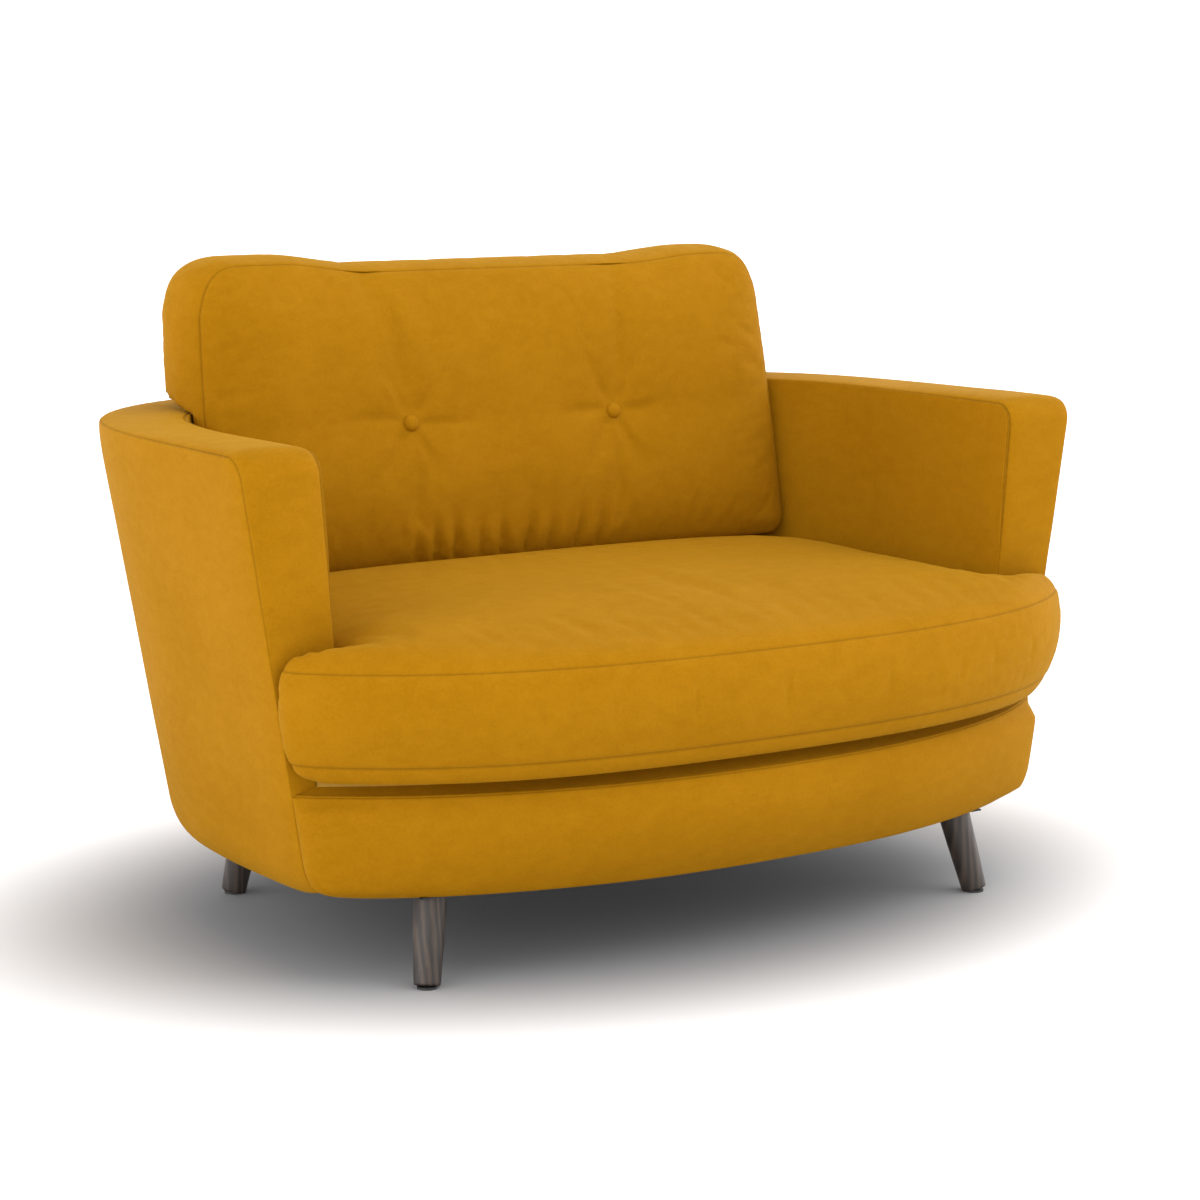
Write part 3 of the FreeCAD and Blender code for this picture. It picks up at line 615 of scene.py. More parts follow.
def settled(piece, held, reach, slack, keep):
    """Lets a cover fill out as cloth, sewn down where held is 1. Its folds are kept, and
    its swelling is evened out so that the cushion stays within its sizes."""
    count = len(piece.data.vertices)
    before = np.zeros(count * 3)
    piece.data.vertices.foreach_get("co", before)
    before = before.reshape(-1, 3)
    sewn = piece.vertex_groups.new(name="sewn")
    for level in np.unique(np.round(held, 1)):
        members = np.nonzero(np.round(held, 1) == level)[0]
        sewn.add([int(i) for i in members], float(level), "REPLACE")
    modifier = piece.modifiers.new("filling", "CLOTH")
    cloth = modifier.settings
    cloth.quality = 5
    cloth.mass = 0.3
    cloth.tension_stiffness = 12.0
    cloth.compression_stiffness = 12.0
    cloth.shear_stiffness = 4.0
    cloth.bending_stiffness = 0.35
    cloth.shrink_min = -slack
    cloth.shrink_max = -slack
    cloth.use_pressure = True
    cloth.uniform_pressure_force = 4.0
    cloth.effector_weights.gravity = 0.0
    cloth.vertex_group_mass = "sewn"
    modifier.point_cache.frame_start = 1
    modifier.point_cache.frame_end = 20
    scene = bpy.context.scene
    for step in range(1, 21):
        scene.frame_set(step)
    ready = piece.evaluated_get(bpy.context.evaluated_depsgraph_get())
    after = np.zeros(count * 3)
    ready.data.vertices.foreach_get("co", after)
    after = after.reshape(-1, 3)
    piece.modifiers.remove(modifier)
    piece.vertex_groups.remove(sewn)
    scene.frame_set(1)
    edges = np.zeros(len(piece.data.edges) * 2, dtype=np.int64)
    piece.data.edges.foreach_get("vertices", edges)
    moved = after - before
    size = np.linalg.norm(moved, axis=1, keepdims=True)
    moved = moved * np.minimum(1.0, 0.030 / np.maximum(size, 1e-9))
    folds = moved - keep * evened(moved, edges.reshape(-1, 2), 60)
    size = np.linalg.norm(folds, axis=1, keepdims=True)
    folds = folds * np.tanh(size / reach) * reach / np.maximum(size, 1e-9)
    return before + folds * (1 - held[:, None])


def reshape(piece, points):
    piece.data.vertices.foreach_set("co", points.ravel())
    piece.data.update()
    return piece


# ---- seat cushion ---------------------------------------------------------------------------
def seat_loop(step, count):
    """Outline of the seat cushion's seams: a T with a bowed front and rounded wings."""
    wing = outer_half(DECK) + 0.0165 - step
    end_rise = (1 - (1 / 1.14) ** 2.56) ** (1 / 2.56)
    depth = 0.459 - step
    front_y = -0.020 - depth * end_rise
    wing_back = ARM_FRONT - 0.0035
    neck = inner_half(DECK) - 0.006
    back = inner_back(DECK) - 0.006
    bow = bow_line(wing, front_y, depth * (1 - end_rise), 1.14, 2.56)
    right_front = bow[180:]
    end = np.linspace(0, 1, 24)
    swell = 0.007 * (1 - (2 * end - 1) ** 2)
    right_end = np.stack([wing + swell, lerp(front_y, wing_back, end)], 1)
    tub = tub_line(neck, back, INNER_SQUARENESS, wing_back)
    left_end = right_end[::-1] * [-1, 1]
    points = [right_front[:-1], right_end, tub, left_end, bow[1:180]]
    loop = even_loop(np.concatenate(points), count)
    shift = np.where(loop[:, 0] > 0, 0.0015, 0.0055) * smooth(-loop[:, 1], 0.268, 0.285)
    loop[:, 0] += shift * smooth(np.abs(loop[:, 0]), 0.3, 0.5)
    outer_corner = np.abs(loop[:, 0]) > 0.50
    outer_corner &= loop[:, 1] < -0.25
    passes = np.where(outer_corner, 14, 5)
    notch = (np.abs(loop[:, 0]) < 0.55) & (np.abs(loop[:, 1] - wing_back) < 0.03)
    passes = np.where(notch, 3, passes)
    return round_corners(loop, passes)


def seat_height(x, y, near):
    """Top of the seat cushion above its seam."""
    edge = (SEAT_EDGE - SEAT_TOP_SEAM) * (1 - np.exp(-near / 0.022)) ** 0.75
    sides = np.clip(1 - (np.abs(x) / 0.56) ** 4.0, 0, 1)
    run = smooth(y, -0.47, -0.22) * (1 - smooth(y, 0.120, 0.156))
    crown = SEAT_CROWN * sides * run
    return edge + crown * (1 - np.exp(-near / 0.06))


def loop_normals(loop):
    tangent = np.roll(loop, -1, 0) - np.roll(loop, 1, 0)
    tangent /= np.linalg.norm(tangent, axis=1, keepdims=True)
    return np.stack([tangent[:, 1], -tangent[:, 0]], 1)


def make_seat_cushion():
    count = 600
    top_loop = seat_loop(0.0, count)
    bottom_loop = seat_loop(0.009, count)
    flat, near, faces = fill_outline(top_loop, NEAR_SEAM[1:] + (0.022,), 0.010)
    z = SEAT_TOP_SEAM + seat_height(flat[:, 0], flat[:, 1], near)
    beside = np.arctan2(flat[:, 1], flat[:, 0]) * 0.55
    z += stitched(near, beside) - SEAM_RISE * (near > 0)
    z += 0.0022 * rough(np.column_stack([flat, 0 * near]), 4.5, 3) * smooth(near, 0.02, 0.12)
    under = smooth(flat[:, 1], 0.134, 0.158)
    z = np.minimum(z, lerp(z, SEAT_EDGE - 0.0005, under))
    top = np.column_stack([flat, z])

    normals = loop_normals(top_loop)
    free = smooth(-top_loop[:, 1], 0.270, 0.285)
    free = free * lerp(1.0, 0.80, smooth(np.abs(top_loop[:, 0]), 0.52, 0.60))
    share = stations(SEAT_TOP_SEAM - SEAT_BOTTOM_SEAM, 0.0085) / (SEAT_TOP_SEAM - SEAT_BOTTOM_SEAM)
    rows = []
    for s in share[1:-1]:
        mid = lerp(top_loop, bottom_loop, s)
        height = lerp(SEAT_TOP_SEAM, SEAT_BOTTOM_SEAM, s)
        away = min(s, 1 - s) * 0.116
        bulge = lerp(0.0012, 0.0125, free) * (1 - abs(2 * s - 1) ** 2.2) ** 0.75
        push = bulge + stitched(np.full(count, away), lengths(top_loop))
        ring = mid + normals * push[:, None]
        rows.append(np.column_stack([ring, np.full(count, height)]))
    border = np.concatenate(rows)

    flat_b, near_b, faces_b = fill_outline(bottom_loop, NEAR_SEAM[1:] + (0.022, 0.034, 0.050), 0.018)
    drop = (SEAT_BOTTOM_SEAM - DECK - 0.0006) * (1 - np.exp(-near_b / 0.011)) ** 0.8
    overhang = smooth(-flat_b[:, 1], 0.285, 0.31)
    drop += 0.0080 * np.exp(-((near_b - 0.022) / 0.013) ** 2) * overhang
    low = np.column_stack([flat_b, SEAT_BOTTOM_SEAM - drop])

    verts = np.concatenate([top, border, low])
    n_top, n_border = len(top), len(border)
    starts = [0] + [n_top + r * count for r in range(len(rows) + 1)]
    all_faces = list(faces) + joined_rings(count, starts)
    all_faces += [tuple(n_top + n_border + v for v in reversed(f)) for f in faces_b]
    border_near = np.repeat(np.minimum(share[1:-1], 1 - share[1:-1]) * 0.116, count)
    near_all = np.concatenate([near, border_near, near_b])
    piece = add_piece("seat_cushion", verts, all_faces, painted_seam_shade(near_all))
    held = 1 - smooth(near_all, 0.0, 0.030)
    held[n_top + n_border:] = 1.0
    at_wall = smooth(verts[:, 1], ARM_FRONT - 0.012, ARM_FRONT - 0.002)
    held[n_top:] = np.maximum(held[n_top:], at_wall[n_top:])
    held = np.maximum(held, smooth(verts[:, 1], 0.10, 0.14))
    points = settled(piece, held, 0.0040, 0.010, 0.9)
    points[:, 2] = np.maximum(points[:, 2], DECK + 0.0004)
    reshape(piece, points)
    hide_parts("seat_cushion_cover", "seat_cushion_core")
    dress(piece, "velvet", "seat_cushion")
    return piece


# ---- back cushion ---------------------------------------------------------------------------
def back_loop(count, inset=0.0):
    """Outline of the back cushion's seams as x and height."""
    half_low, half_top = 0.470 - inset, 0.459 - inset
    low, high = BACK_BOTTOM_SEAM + inset, BACK_TOP_SEAM - inset
    points = []
    corners = ((half_low, low, 0.026), (half_top, high, 0.054),
               (-half_top, high, 0.062), (-half_low, low, 0.026))
    angles = (-90, 0, 90, 180)
    for (x, z, r), start in zip(corners, angles):
        centre = np.array([x - math.copysign(r, x), z + (r if z == low else -r)])
        for a in np.radians(np.linspace(start, start + 90, 24)):
            points.append(centre + r * np.array([math.cos(a), math.sin(a)]))
    points = np.array(points)
    points = np.concatenate([[[0.0, low]], points])
    loop = even_loop(points, count)
    top = smooth(loop[:, 1], high - 0.05, high - 0.005)
    x = np.abs(loop[:, 0])
    left = loop[:, 0] < 0
    sway = np.where(left, 0.0140 * smooth(x, 0.195, 0.33), 0.0105 * smooth(x, 0.23, 0.37))
    loop[:, 1] += top * sway
    belly = 0.004 * np.sin((loop[:, 1] - low) / (high - low) * 3.1)
    loop[:, 0] += np.sign(loop[:, 0]) * belly * (x > 0.40)
    return loop


def hold_in_shell(points):
    """Presses points that would enter the arms or the back onto their covers."""
    z = points[:, 2]
    clear = 0.0045 + 0.004 * smooth(z, 0.44, 0.58)
    rise = np.clip(z - TOP_SEAM, 0, None)
    give = 2.2 * rise
    level = np.minimum(z, TOP_SEAM)
    a = inner_half(level) - clear + give
    b = inner_back(level) - clear + give - WIDEST
    x, y = points[:, 0], points[:, 1] - WIDEST
    size = (np.abs(x / a) ** INNER_SQUARENESS + np.abs(np.clip(y, 0, None) / b) ** INNER_SQUARENESS)
    size = size ** (1 / INNER_SQUARENESS)
    shrink = np.where((size > 1) & (z < TOP_SEAM + 0.08), 1 / np.maximum(size, 1e-6), 1.0)
    points[:, 0] = x * shrink
    points[:, 1] = WIDEST + y * shrink
    return points


def back_puff(x, z, near):
    """How far the front of the back cushion stands ahead of its seam."""
    across = np.clip(1 - np.abs(x / 0.475) ** 4.0, 0, 1)
    share = np.clip((z - 0.440) / (BACK_TOP_SEAM + 0.016 - 0.440), 0, 1)
    upright = np.clip(1 - np.abs(2 * share ** 0.93 - 1) ** 3.0, 0, 1)
    edge = (1 - np.exp(-near / 0.030)) ** 0.7
    puff = BACK_PUFF * edge * (0.35 + 0.65 * (across * upright) ** 0.6)
    beyond = 1 - 0.75 * smooth(np.abs(x), 0.27, 0.45)
    puff -= 0.0045 * beyond * np.exp(-((z - BUTTON_Z) / 0.030) ** 2)
    lean = 0.035 * smooth(z, BUTTON_Z, BUTTON_Z + 0.2)
    above = smooth(z, BUTTON_Z - 0.02, BUTTON_Z + 0.03)
    below = 0.5 * (1 - above) * smooth(z, 0.46, 0.55)
    valley = np.exp(-((np.abs(x) - BUTTON_X - lean) / 0.024) ** 2)
    puff -= 0.0050 * (above + below) * valley
    return puff


# Folds standing up from the bottom seam: place, height of the upper end, depth.
PLEATS = ((-0.168, 0.500, 0.0060), (-0.137, 0.515, 0.0078), (-0.104, 0.528, 0.0086),
          (-0.062, 0.508, 0.0074), (-0.028, 0.522, 0.0086), (0.012, 0.532, 0.0090),
          (0.050, 0.512, 0.0078), (0.098, 0.534, 0.0090), (0.134, 0.518, 0.0074))
# Creases running out from each button: direction in degrees, length, depth.
CREASES = ((5, 0.110, 0.0032), (62, 0.085, 0.0030), (128, 0.080, 0.0026),
           (183, 0.120, 0.0034), (238, 0.090, 0.0030), (300, 0.095, 0.0034))


def front_point(x, z, ahead):
    """A point of the cushion's front, ahead of its leaning seam plane."""
    tilt = math.atan(BACK_LEAN)
    return np.column_stack([x, seam_y(z) - ahead * math.cos(tilt), z + ahead * math.sin(tilt) * 0.4])


def make_back_cushion():
    count = 430
    loop = back_loop(count)
    flat, near, faces = fill_outline(loop, NEAR_SEAM[1:] + (0.020,), 0.0062)
    x, z = flat[:, 0], flat[:, 1]
    ahead = back_puff(x, z, near)
    seat_depth = float(seam_y(BUTTON_Z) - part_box("button_left")[1].y) + 0.0005
    for side in (-1, 1):
        reach = np.hypot(x - side * BUTTON_X, z - BUTTON_Z)
        level = float(back_puff(np.array([side * BUTTON_X]), np.array([BUTTON_Z]), np.array([0.2]))[0])
        pinch = np.exp(-np.clip(reach - 0.006, 0, None) / 0.018)
        ahead = ahead - (level - seat_depth) * pinch
    for at, top, deep in PLEATS:
        bend = at + 0.10 * (z - 0.45) * math.copysign(1.0, at)
        short = 1 - smooth(z, 0.462, top)
        fold = np.exp(-((x - bend) / 0.0052) ** 2) - 0.50 * np.exp(-((x - bend - 0.014) / 0.010) ** 2)
        ahead -= deep * fold * short * smooth(near, 0.0, 0.010)
    for side in (-1, 1):
        for angle, far, deep in CREASES:
            way = math.radians(angle if side > 0 else 180 - angle)
            u = (x - side * BUTTON_X) * math.cos(way) + (z - BUTTON_Z) * math.sin(way)
            v = (z - BUTTON_Z) * math.cos(way) - (x - side * BUTTON_X) * math.sin(way)
            v = v + 0.10 * u * np.sin(u * 40.0)
            ray = smooth(u, 0.008, 0.026) * (1 - smooth(u, 0.4 * far, far))
            ahead -= deep * ray * np.exp(-(v / (0.0045 + 0.06 * np.clip(u, 0, 1))) ** 2)
    ahead += stitched(near, x * 0.9 + z)
    ahead += 0.0022 * rough(np.column_stack([x, z, 0 * x]), 6.0, 7) * smooth(near, 0.01, 0.08)
    front = front_point(x, z, ahead)

    rear_loop = back_loop(count, 0.0)
    normals = loop_normals(loop)
    rows = []
    share = stations(BACK_BORDER, 0.0085) / BACK_BORDER
    for s in share[1:-1]:
        mid = lerp(loop, rear_loop, s)
        away = min(s, 1 - s) * BACK_BORDER
        sides = smooth(np.abs(mid[:, 0]), 0.42, 0.45)
        bulge = lerp(0.010, 0.018, sides) * (1 - abs(2 * s - 1) ** 2.2) ** 0.75
        low = 1 - 0.9 * smooth(BACK_BOTTOM_SEAM + 0.03 - mid[:, 1], 0.0, 0.03)
        spots = np.column_stack([mid[:, 1], mid[:, 0] * 0.2, np.full(count, s * 0.25)])
        ripple = rough(spots, 26.0, 2)
        push = bulge * low + stitched(np.full(count, away), lengths(np.concatenate([loop, loop[:1]]))[:-1])
        push += 0.0030 * ripple * sides * math.sin(math.pi * s)
        ring = mid + normals * push[:, None]
        depth = seam_y(mid[:, 1]) + BACK_BORDER * s
        rows.append(np.column_stack([ring[:, 0], depth, ring[:, 1]]))
    border = np.concatenate(rows)

    flat_b, near_b, faces_b = fill_outline(rear_loop, NEAR_SEAM[1:] + (0.022, 0.034), 0.012)
    swell = (BACK_DEPTH - BACK_BORDER) * (1 - np.exp(-near_b / 0.040)) ** 0.8
    rear_y = seam_y(flat_b[:, 1]) + BACK_BORDER + swell
    for side in (-1, 1):
        reach = np.hypot(flat_b[:, 0] - side * BUTTON_X, flat_b[:, 1] - BUTTON_Z)
        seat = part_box("rear_buttons")[0].y + 0.0015
        level = float(seam_y(BUTTON_Z)) + BACK_DEPTH
        rear_y -= (level - seat) * np.exp(-np.clip(reach - 0.008, 0, None) / 0.025)
    rear = np.column_stack([flat_b[:, 0], rear_y, flat_b[:, 1]])

    verts = np.concatenate([front, border, rear])
    n_front, n_border = len(front), len(border)
    starts = [0] + [n_front + r * count for r in range(len(rows) + 1)]
    all_faces = list(faces) + joined_rings(count, starts)
    all_faces += [tuple(n_front + n_border + v for v in reversed(f)) for f in faces_b]
    verts = hold_in_shell(verts)
    verts[:, 2] = np.maximum(verts[:, 2], BACK_BOTTOM)
    border_near = np.repeat(np.minimum(share[1:-1], 1 - share[1:-1]) * BACK_BORDER, count)
    near_all = np.concatenate([near, border_near, near_b])
    piece = add_piece("back_cushion", verts, all_faces, painted_seam_shade(near_all))
    held = 1 - smooth(near_all, 0.0, 0.024)
    held[n_front + n_border:] = 1.0
    inside_tub = 1 - smooth(verts[:, 2], TOP_SEAM - 0.03, TOP_SEAM + 0.02)
    held[n_front:] = np.maximum(held[n_front:], inside_tub[n_front:])
    for side in (-1, 1):
        reach = np.hypot(verts[:, 0] - side * BUTTON_X, verts[:, 2] - BUTTON_Z)
        held = np.maximum(held, 1 - smooth(reach, 0.012, 0.030))
    points = hold_in_shell(settled(piece, held, 0.0032, 0.007, 0.9))
    points[:, 2] = np.maximum(points[:, 2], BACK_BOTTOM)
    reshape(piece, points)
    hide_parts("back_cushion_cover", "back_cushion_fill")
    dress(piece, "velvet", "back_cushion")
    return piece


# ---- turned pieces --------------------------------------------------------------------------
def turned(name, profile, start, end, steps=56):
    """A turned piece: profile is (radius, distance from start along the axis)."""
    axis = (Vector(end) - Vector(start)).normalized()
    side = axis.orthogonal().normalized()
    other = axis.cross(side)
    verts, faces = [], []
    for radius, along in profile:
        centre = Vector(start) + axis * along
        for k in range(steps):
            a = 2 * math.pi * k / steps
            verts.append(centre + (side * math.cos(a) + other * math.sin(a)) * radius)
    for r in range(len(profile) - 1):
        for k in range(steps):
            j = (k + 1) % steps
            faces.append((r * steps + k, r * steps + j, (r + 1) * steps + j, (r + 1) * steps + k))
    faces.append(tuple(reversed(range(steps))))
    faces.append(tuple((len(profile) - 1) * steps + k for k in range(steps)))
    return add_piece(name, verts, faces)


def make_legs():
    for name, side, foot_y, splay_y in LEGS:
        low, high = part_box(f"leg_{name}")
        foot = Vector((side * LEG_FOOT_X, foot_y, low.z))
        head = Vector((side * LEG_HEAD_X, foot_y + splay_y, high.z))
        length = (head - foot).length
        edge = 0.0025
        profile = [(0.0160 - edge, 0.0)]
        for a in np.linspace(0, math.pi / 2, 6):
            profile.append((0.0170 - edge + edge * math.sin(a), edge * (1 - math.cos(a))))
        for t in np.linspace(0.05, 1.0, 16):
            profile.append((lerp(0.0170, 0.0220, t) + 0.0003 * math.sin(math.pi * t), length * t))
        piece = turned(f"turned_leg_{name}", profile, foot, head)
        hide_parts(f"leg_{name}")
        dress(piece, "leg_walnut", "root")


def make_buttons():
    tilt = Vector((0, -1, BACK_LEAN)).normalized()
    for name in ("left", "right"):
        low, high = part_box(f"button_{name}")
        centre = Vector(((low.x + high.x) / 2, high.y, BUTTON_Z))
        profile = [(0.0085, -0.001)]
        for a in np.linspace(0, math.pi / 2, 14)[:-1]:
            profile.append((0.0118 * math.cos(a) ** 0.8, 0.0012 + 0.0072 * math.sin(a)))
        profile.insert(1, (0.0112, 0.0))
        profile.append((0.0006, 0.0084))
        piece = turned(f"covered_button_{name}", profile, centre, centre + tilt)
        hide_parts(f"button_{name}")
        dress(piece, "velvet", "back_cushion")


# ---- repeated small parts -------------------------------------------------------------------
def repeat_tree(name, shape, material):
    """Puts a small part at every point of a mesh, turned along its 'facing' attribute."""
    tree = bpy.data.node_groups.new(name, "GeometryNodeTree")
    tree.interface.new_socket("Geometry", in_out="INPUT", socket_type="NodeSocketGeometry")
    size = tree.interface.new_socket("Size", in_out="INPUT", socket_type="NodeSocketFloat")
    size.default_value = 1.0
    tree.interface.new_socket("Geometry", in_out="OUTPUT", socket_type="NodeSocketGeometry")
    nodes, links = tree.nodes, tree.links
    entry, leave = nodes.new("NodeGroupInput"), nodes.new("NodeGroupOutput")
    part = nodes.new("GeometryNodeObjectInfo")
    part.inputs["Object"].default_value = shape
    facing = nodes.new("GeometryNodeInputNamedAttribute")
    facing.data_type = "FLOAT_VECTOR"
    facing.inputs["Name"].default_value = "facing"
    turn = nodes.new("FunctionNodeAlignRotationToVector")
    turn.axis = "X"
    turn.pivot_axis = "Z"
    place = nodes.new("GeometryNodeInstanceOnPoints")
    solid = nodes.new("GeometryNodeRealizeInstances")
    paint = nodes.new("GeometryNodeSetMaterial")
    paint.inputs["Material"].default_value = material
    links.new(entry.outputs["Geometry"], place.inputs["Points"])
    links.new(part.outputs["Geometry"], place.inputs["Instance"])
    links.new(facing.outputs["Attribute"], turn.inputs["Vector"])
    links.new(turn.outputs["Rotation"], place.inputs["Rotation"])
    links.new(entry.outputs["Size"], place.inputs["Scale"])
    links.new(place.outputs["Instances"], solid.inputs["Geometry"])
    links.new(solid.outputs["Geometry"], paint.inputs["Geometry"])
    links.new(paint.outputs["Geometry"], leave.inputs["Geometry"])
    return tree, size.identifier


def repeated(name, points, facings, shape, material, size=1.0):
    """The small part at every point, as one plain mesh."""
    mesh = bpy.data.meshes.new(name + "_places")
    mesh.from_pydata([tuple(p) for p in points], [], [])
    mark = mesh.attributes.new("facing", "FLOAT_VECTOR", "POINT")
    mark.data.foreach_set("vector", np.asarray(facings, np.float32).ravel())
    places = bpy.data.objects.new(name + "_places", mesh)
    bpy.context.scene.collection.objects.link(places)
    tree, size_socket = repeat_tree(name + "_tree", shape, material)
    modifier = places.modifiers.new("repeat", "NODES")
    modifier.node_group = tree
    modifier[size_socket] = size
    ready = places.evaluated_get(bpy.context.evaluated_depsgraph_get())
    made = bpy.data.meshes.new_from_object(ready)
    piece = bpy.data.objects.new(name, made)
    bpy.context.scene.collection.objects.link(piece)
    bpy.data.objects.remove(places)
    bpy.data.objects.remove(shape)
    return piece


def along_line(name, loop, z, shape, material):
    """The small part at every point of a closed line, turned along it."""
    facing = np.roll(loop, -1, 0) - np.roll(loop, 1, 0)
    points = np.column_stack([loop, np.full(len(loop), z)])
    facings = np.column_stack([facing, np.zeros(len(loop))])
    return repeated(name, points, facings, shape, MATERIALS[material])


def staple_shape():
    """A wire staple, 10 mm wide, seen from below."""
    work = bmesh.new()
    crown = bmesh.ops.create_cube(work, size=1.0)["verts"]
    bmesh.ops.scale(work, vec=(0.010, 0.0009, 0.0006), verts=crown)
    bmesh.ops.bevel(work, geom=work.edges[:], offset=0.00018, segments=1, affect="EDGES")
    mesh = bpy.data.meshes.new("staple")
    work.to_mesh(mesh)
    work.free()
    staple = bpy.data.objects.new("staple", mesh)
    return staple


def screw_shape():
    """A domed pan head, head down."""
    work = bmesh.new()
    rings = ((0.0001, -0.0022), (0.0022, -0.0021), (0.0036, -0.0014), (0.0042, -0.0004), (0.0042, 0.0))
    steps = 20
    made = []
    for radius, z in rings:
        ring = [work.verts.new((radius * math.cos(2 * math.pi * k / steps),
                                radius * math.sin(2 * math.pi * k / steps), z)) for k in range(steps)]
        made.append(ring)
    for a, b in zip(made, made[1:]):
        for k in range(steps):
            work.faces.new((a[k], a[(k + 1) % steps], b[(k + 1) % steps], b[k]))
    work.faces.new(made[0])
    work.faces.new(made[-1])
    bmesh.ops.recalc_face_normals(work, faces=work.faces)
    mesh = bpy.data.meshes.new("screw")
    work.to_mesh(mesh)
    work.free()
    return bpy.data.objects.new("screw", mesh)


def make_screws():
    """Four screws through each leg plate, from below."""
    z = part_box("leg_plates")[0].z
    points, facings = [], []
    for _, side, foot_y, splay_y in LEGS:
        for angle in (45, 135, 225, 315):
            turn = math.radians(angle)
            x = side * LEG_HEAD_X + SCREW_REACH * math.cos(turn)
            points.append((x, foot_y + splay_y + SCREW_REACH * math.sin(turn), z))
            facings.append((math.cos(turn * 1.7), math.sin(turn * 1.7), 0.0))
    screws = repeated("plate_screws", points, facings, screw_shape(), MATERIALS["steel"])
    dress(screws, "steel", "root")


# ---- finishes -------------------------------------------------------------------------------
class Value:
    """A number, colour or vector inside a material, for writing sums."""

    def __init__(self, recipe, socket):
        self.recipe, self.socket = recipe, socket

    def sum(self, operation, first, second):
        return self.recipe.node("ShaderNodeMath", {"operation": operation}, {0: first, 1: second})

    def __add__(self, other):
        return self.sum("ADD", self, other)

    def __sub__(self, other):
        return self.sum("SUBTRACT", self, other)

    def __mul__(self, other):
        return self.sum("MULTIPLY", self, other)

    def __rsub__(self, other):
        return self.sum("SUBTRACT", other, self)

    def __pow__(self, other):
        return self.sum("POWER", self, other)

    __radd__ = __add__
    __rmul__ = __mul__


class Recipe:
    """A material being written."""

    def __init__(self, name):
        self.material = bpy.data.materials.new(name)
        self.material.use_nodes = True
        self.tree = self.material.node_tree
        self.tree.nodes.clear()

    def node(self, kind, settings=None, inputs=None, output=0):
        made = self.tree.nodes.new(kind)
        for key, value in (settings or {}).items():
            if key == "stops":
                ramp = made.color_ramp
                while len(ramp.elements) < len(value):
                    ramp.elements.new(0.5)
                for element, (place, colour) in zip(ramp.elements, value):
                    element.position = place
                    element.color = colour
            else:
                setattr(made, key, value)
        for key, value in (inputs or {}).items():
            socket = made.inputs[key]
            if isinstance(value, Value):
                self.tree.links.new(value.socket, socket)
            else:
                socket.default_value = value
        return Value(self, made.outputs[output])

    def place(self, scale=(1, 1, 1), turn=(0, 0, 0)):
        where = self.node("ShaderNodeTexCoord", output="Object")
        return self.node("ShaderNodeMapping", None, {"Vector": where, "Scale": scale, "Rotation": turn})

    def noise(self, scale, detail=4.0, rough=0.55, stretch=(1, 1, 1), distortion=0.0):
        return self.node("ShaderNodeTexNoise", None, {
            "Vector": self.place(stretch), "Scale": scale, "Detail": detail,
            "Roughness": rough, "Distortion": distortion})

    def spread(self, value, low, high, start=0.0, end=1.0):
        return self.node("ShaderNodeMapRange", {"interpolation_type": "SMOOTHSTEP"}, {
            "Value": value, "From Min": low, "From Max": high, "To Min": start, "To Max": end})

    def mix(self, share, first, second):
        return self.node("ShaderNodeMix", {"data_type": "RGBA"}, {0: share, 6: first, 7: second}, 2)

    def bump(self, height, depth, strength=1.0, below=None):
        inputs = {"Height": height, "Distance": depth, "Strength": strength}
        if below is not None:
            inputs["Normal"] = below
        return self.node("ShaderNodeBump", None, inputs)

    def finish(self, **inputs):
        named = {key.replace("_", " "): value for key, value in inputs.items()}
        shader = self.node("ShaderNodeBsdfPrincipled", None, named)
        self.node_output(shader)
        return self.material

    def node_output(self, shader):
        out = self.tree.nodes.new("ShaderNodeOutputMaterial")
        self.tree.links.new(shader.socket, out.inputs["Surface"])


def rgb(red, green, blue):
    return (red, green, blue, 1.0)


def mustard_velvet():
    m = Recipe("mustard_velvet")
    nap = m.noise(260.0, 3.0, 0.65)
    brushed = m.noise(42.0, 4.0, 0.6, (1.0, 1.0, 1.6))
    clouds = m.noise(7.0, 3.0, 0.5)
    light = m.spread(nap * 0.40 + brushed * 0.35 + clouds * 0.25, 0.30, 0.70)
    cloth = m.mix(light, rgb(0.256, 0.108, 0.0010), rgb(0.310, 0.135, 0.0020))
    # Painted shade: the colour darkens towards a deep brown along the seams, standing in for the shadow in
    # the stitch lines.
    seam = m.node("ShaderNodeAttribute", {"attribute_name": "seam"}, None, "Fac")
    colour = m.mix(seam * 0.45, cloth, rgb(0.085, 0.033, 0.001))
    pile = m.noise(900.0, 2.0, 0.7)
    fine = m.bump(pile, 0.0005, 0.35)
    waves = m.bump(brushed, 0.0011, 0.35, fine)
    return m.finish(Base_Color=colour, Roughness=m.spread(light, 0.0, 1.0, 0.92, 0.80),
                    Specular_IOR_Level=0.05, Sheen_Weight=0.10, Sheen_Roughness=0.42,
                    Sheen_Tint=rgb(1.0, 0.70, 0.06), Normal=waves)


def plain_lining():
    m = Recipe("plain_lining")
    weft = m.node("ShaderNodeTexWave", {"wave_type": "BANDS", "bands_direction": "X"},
                  {"Vector": m.place(), "Scale": 260.0, "Distortion": 0.6, "Detail": 1.0})
    warp = m.node("ShaderNodeTexWave", {"wave_type": "BANDS", "bands_direction": "Y"},
                  {"Vector": m.place(), "Scale": 260.0, "Distortion": 0.6, "Detail": 1.0})
    weave = weft * 0.5 + warp * 0.5
    slub = m.noise(30.0, 4.0, 0.6)
    colour = m.mix(slub * 0.5 + weave * 0.4, rgb(0.30, 0.16, 0.02), rgb(0.50, 0.29, 0.05))
    return m.finish(Base_Color=colour, Roughness=0.9, Specular_IOR_Level=0.2,
                    Normal=m.bump(weave, 0.0004, 0.5))


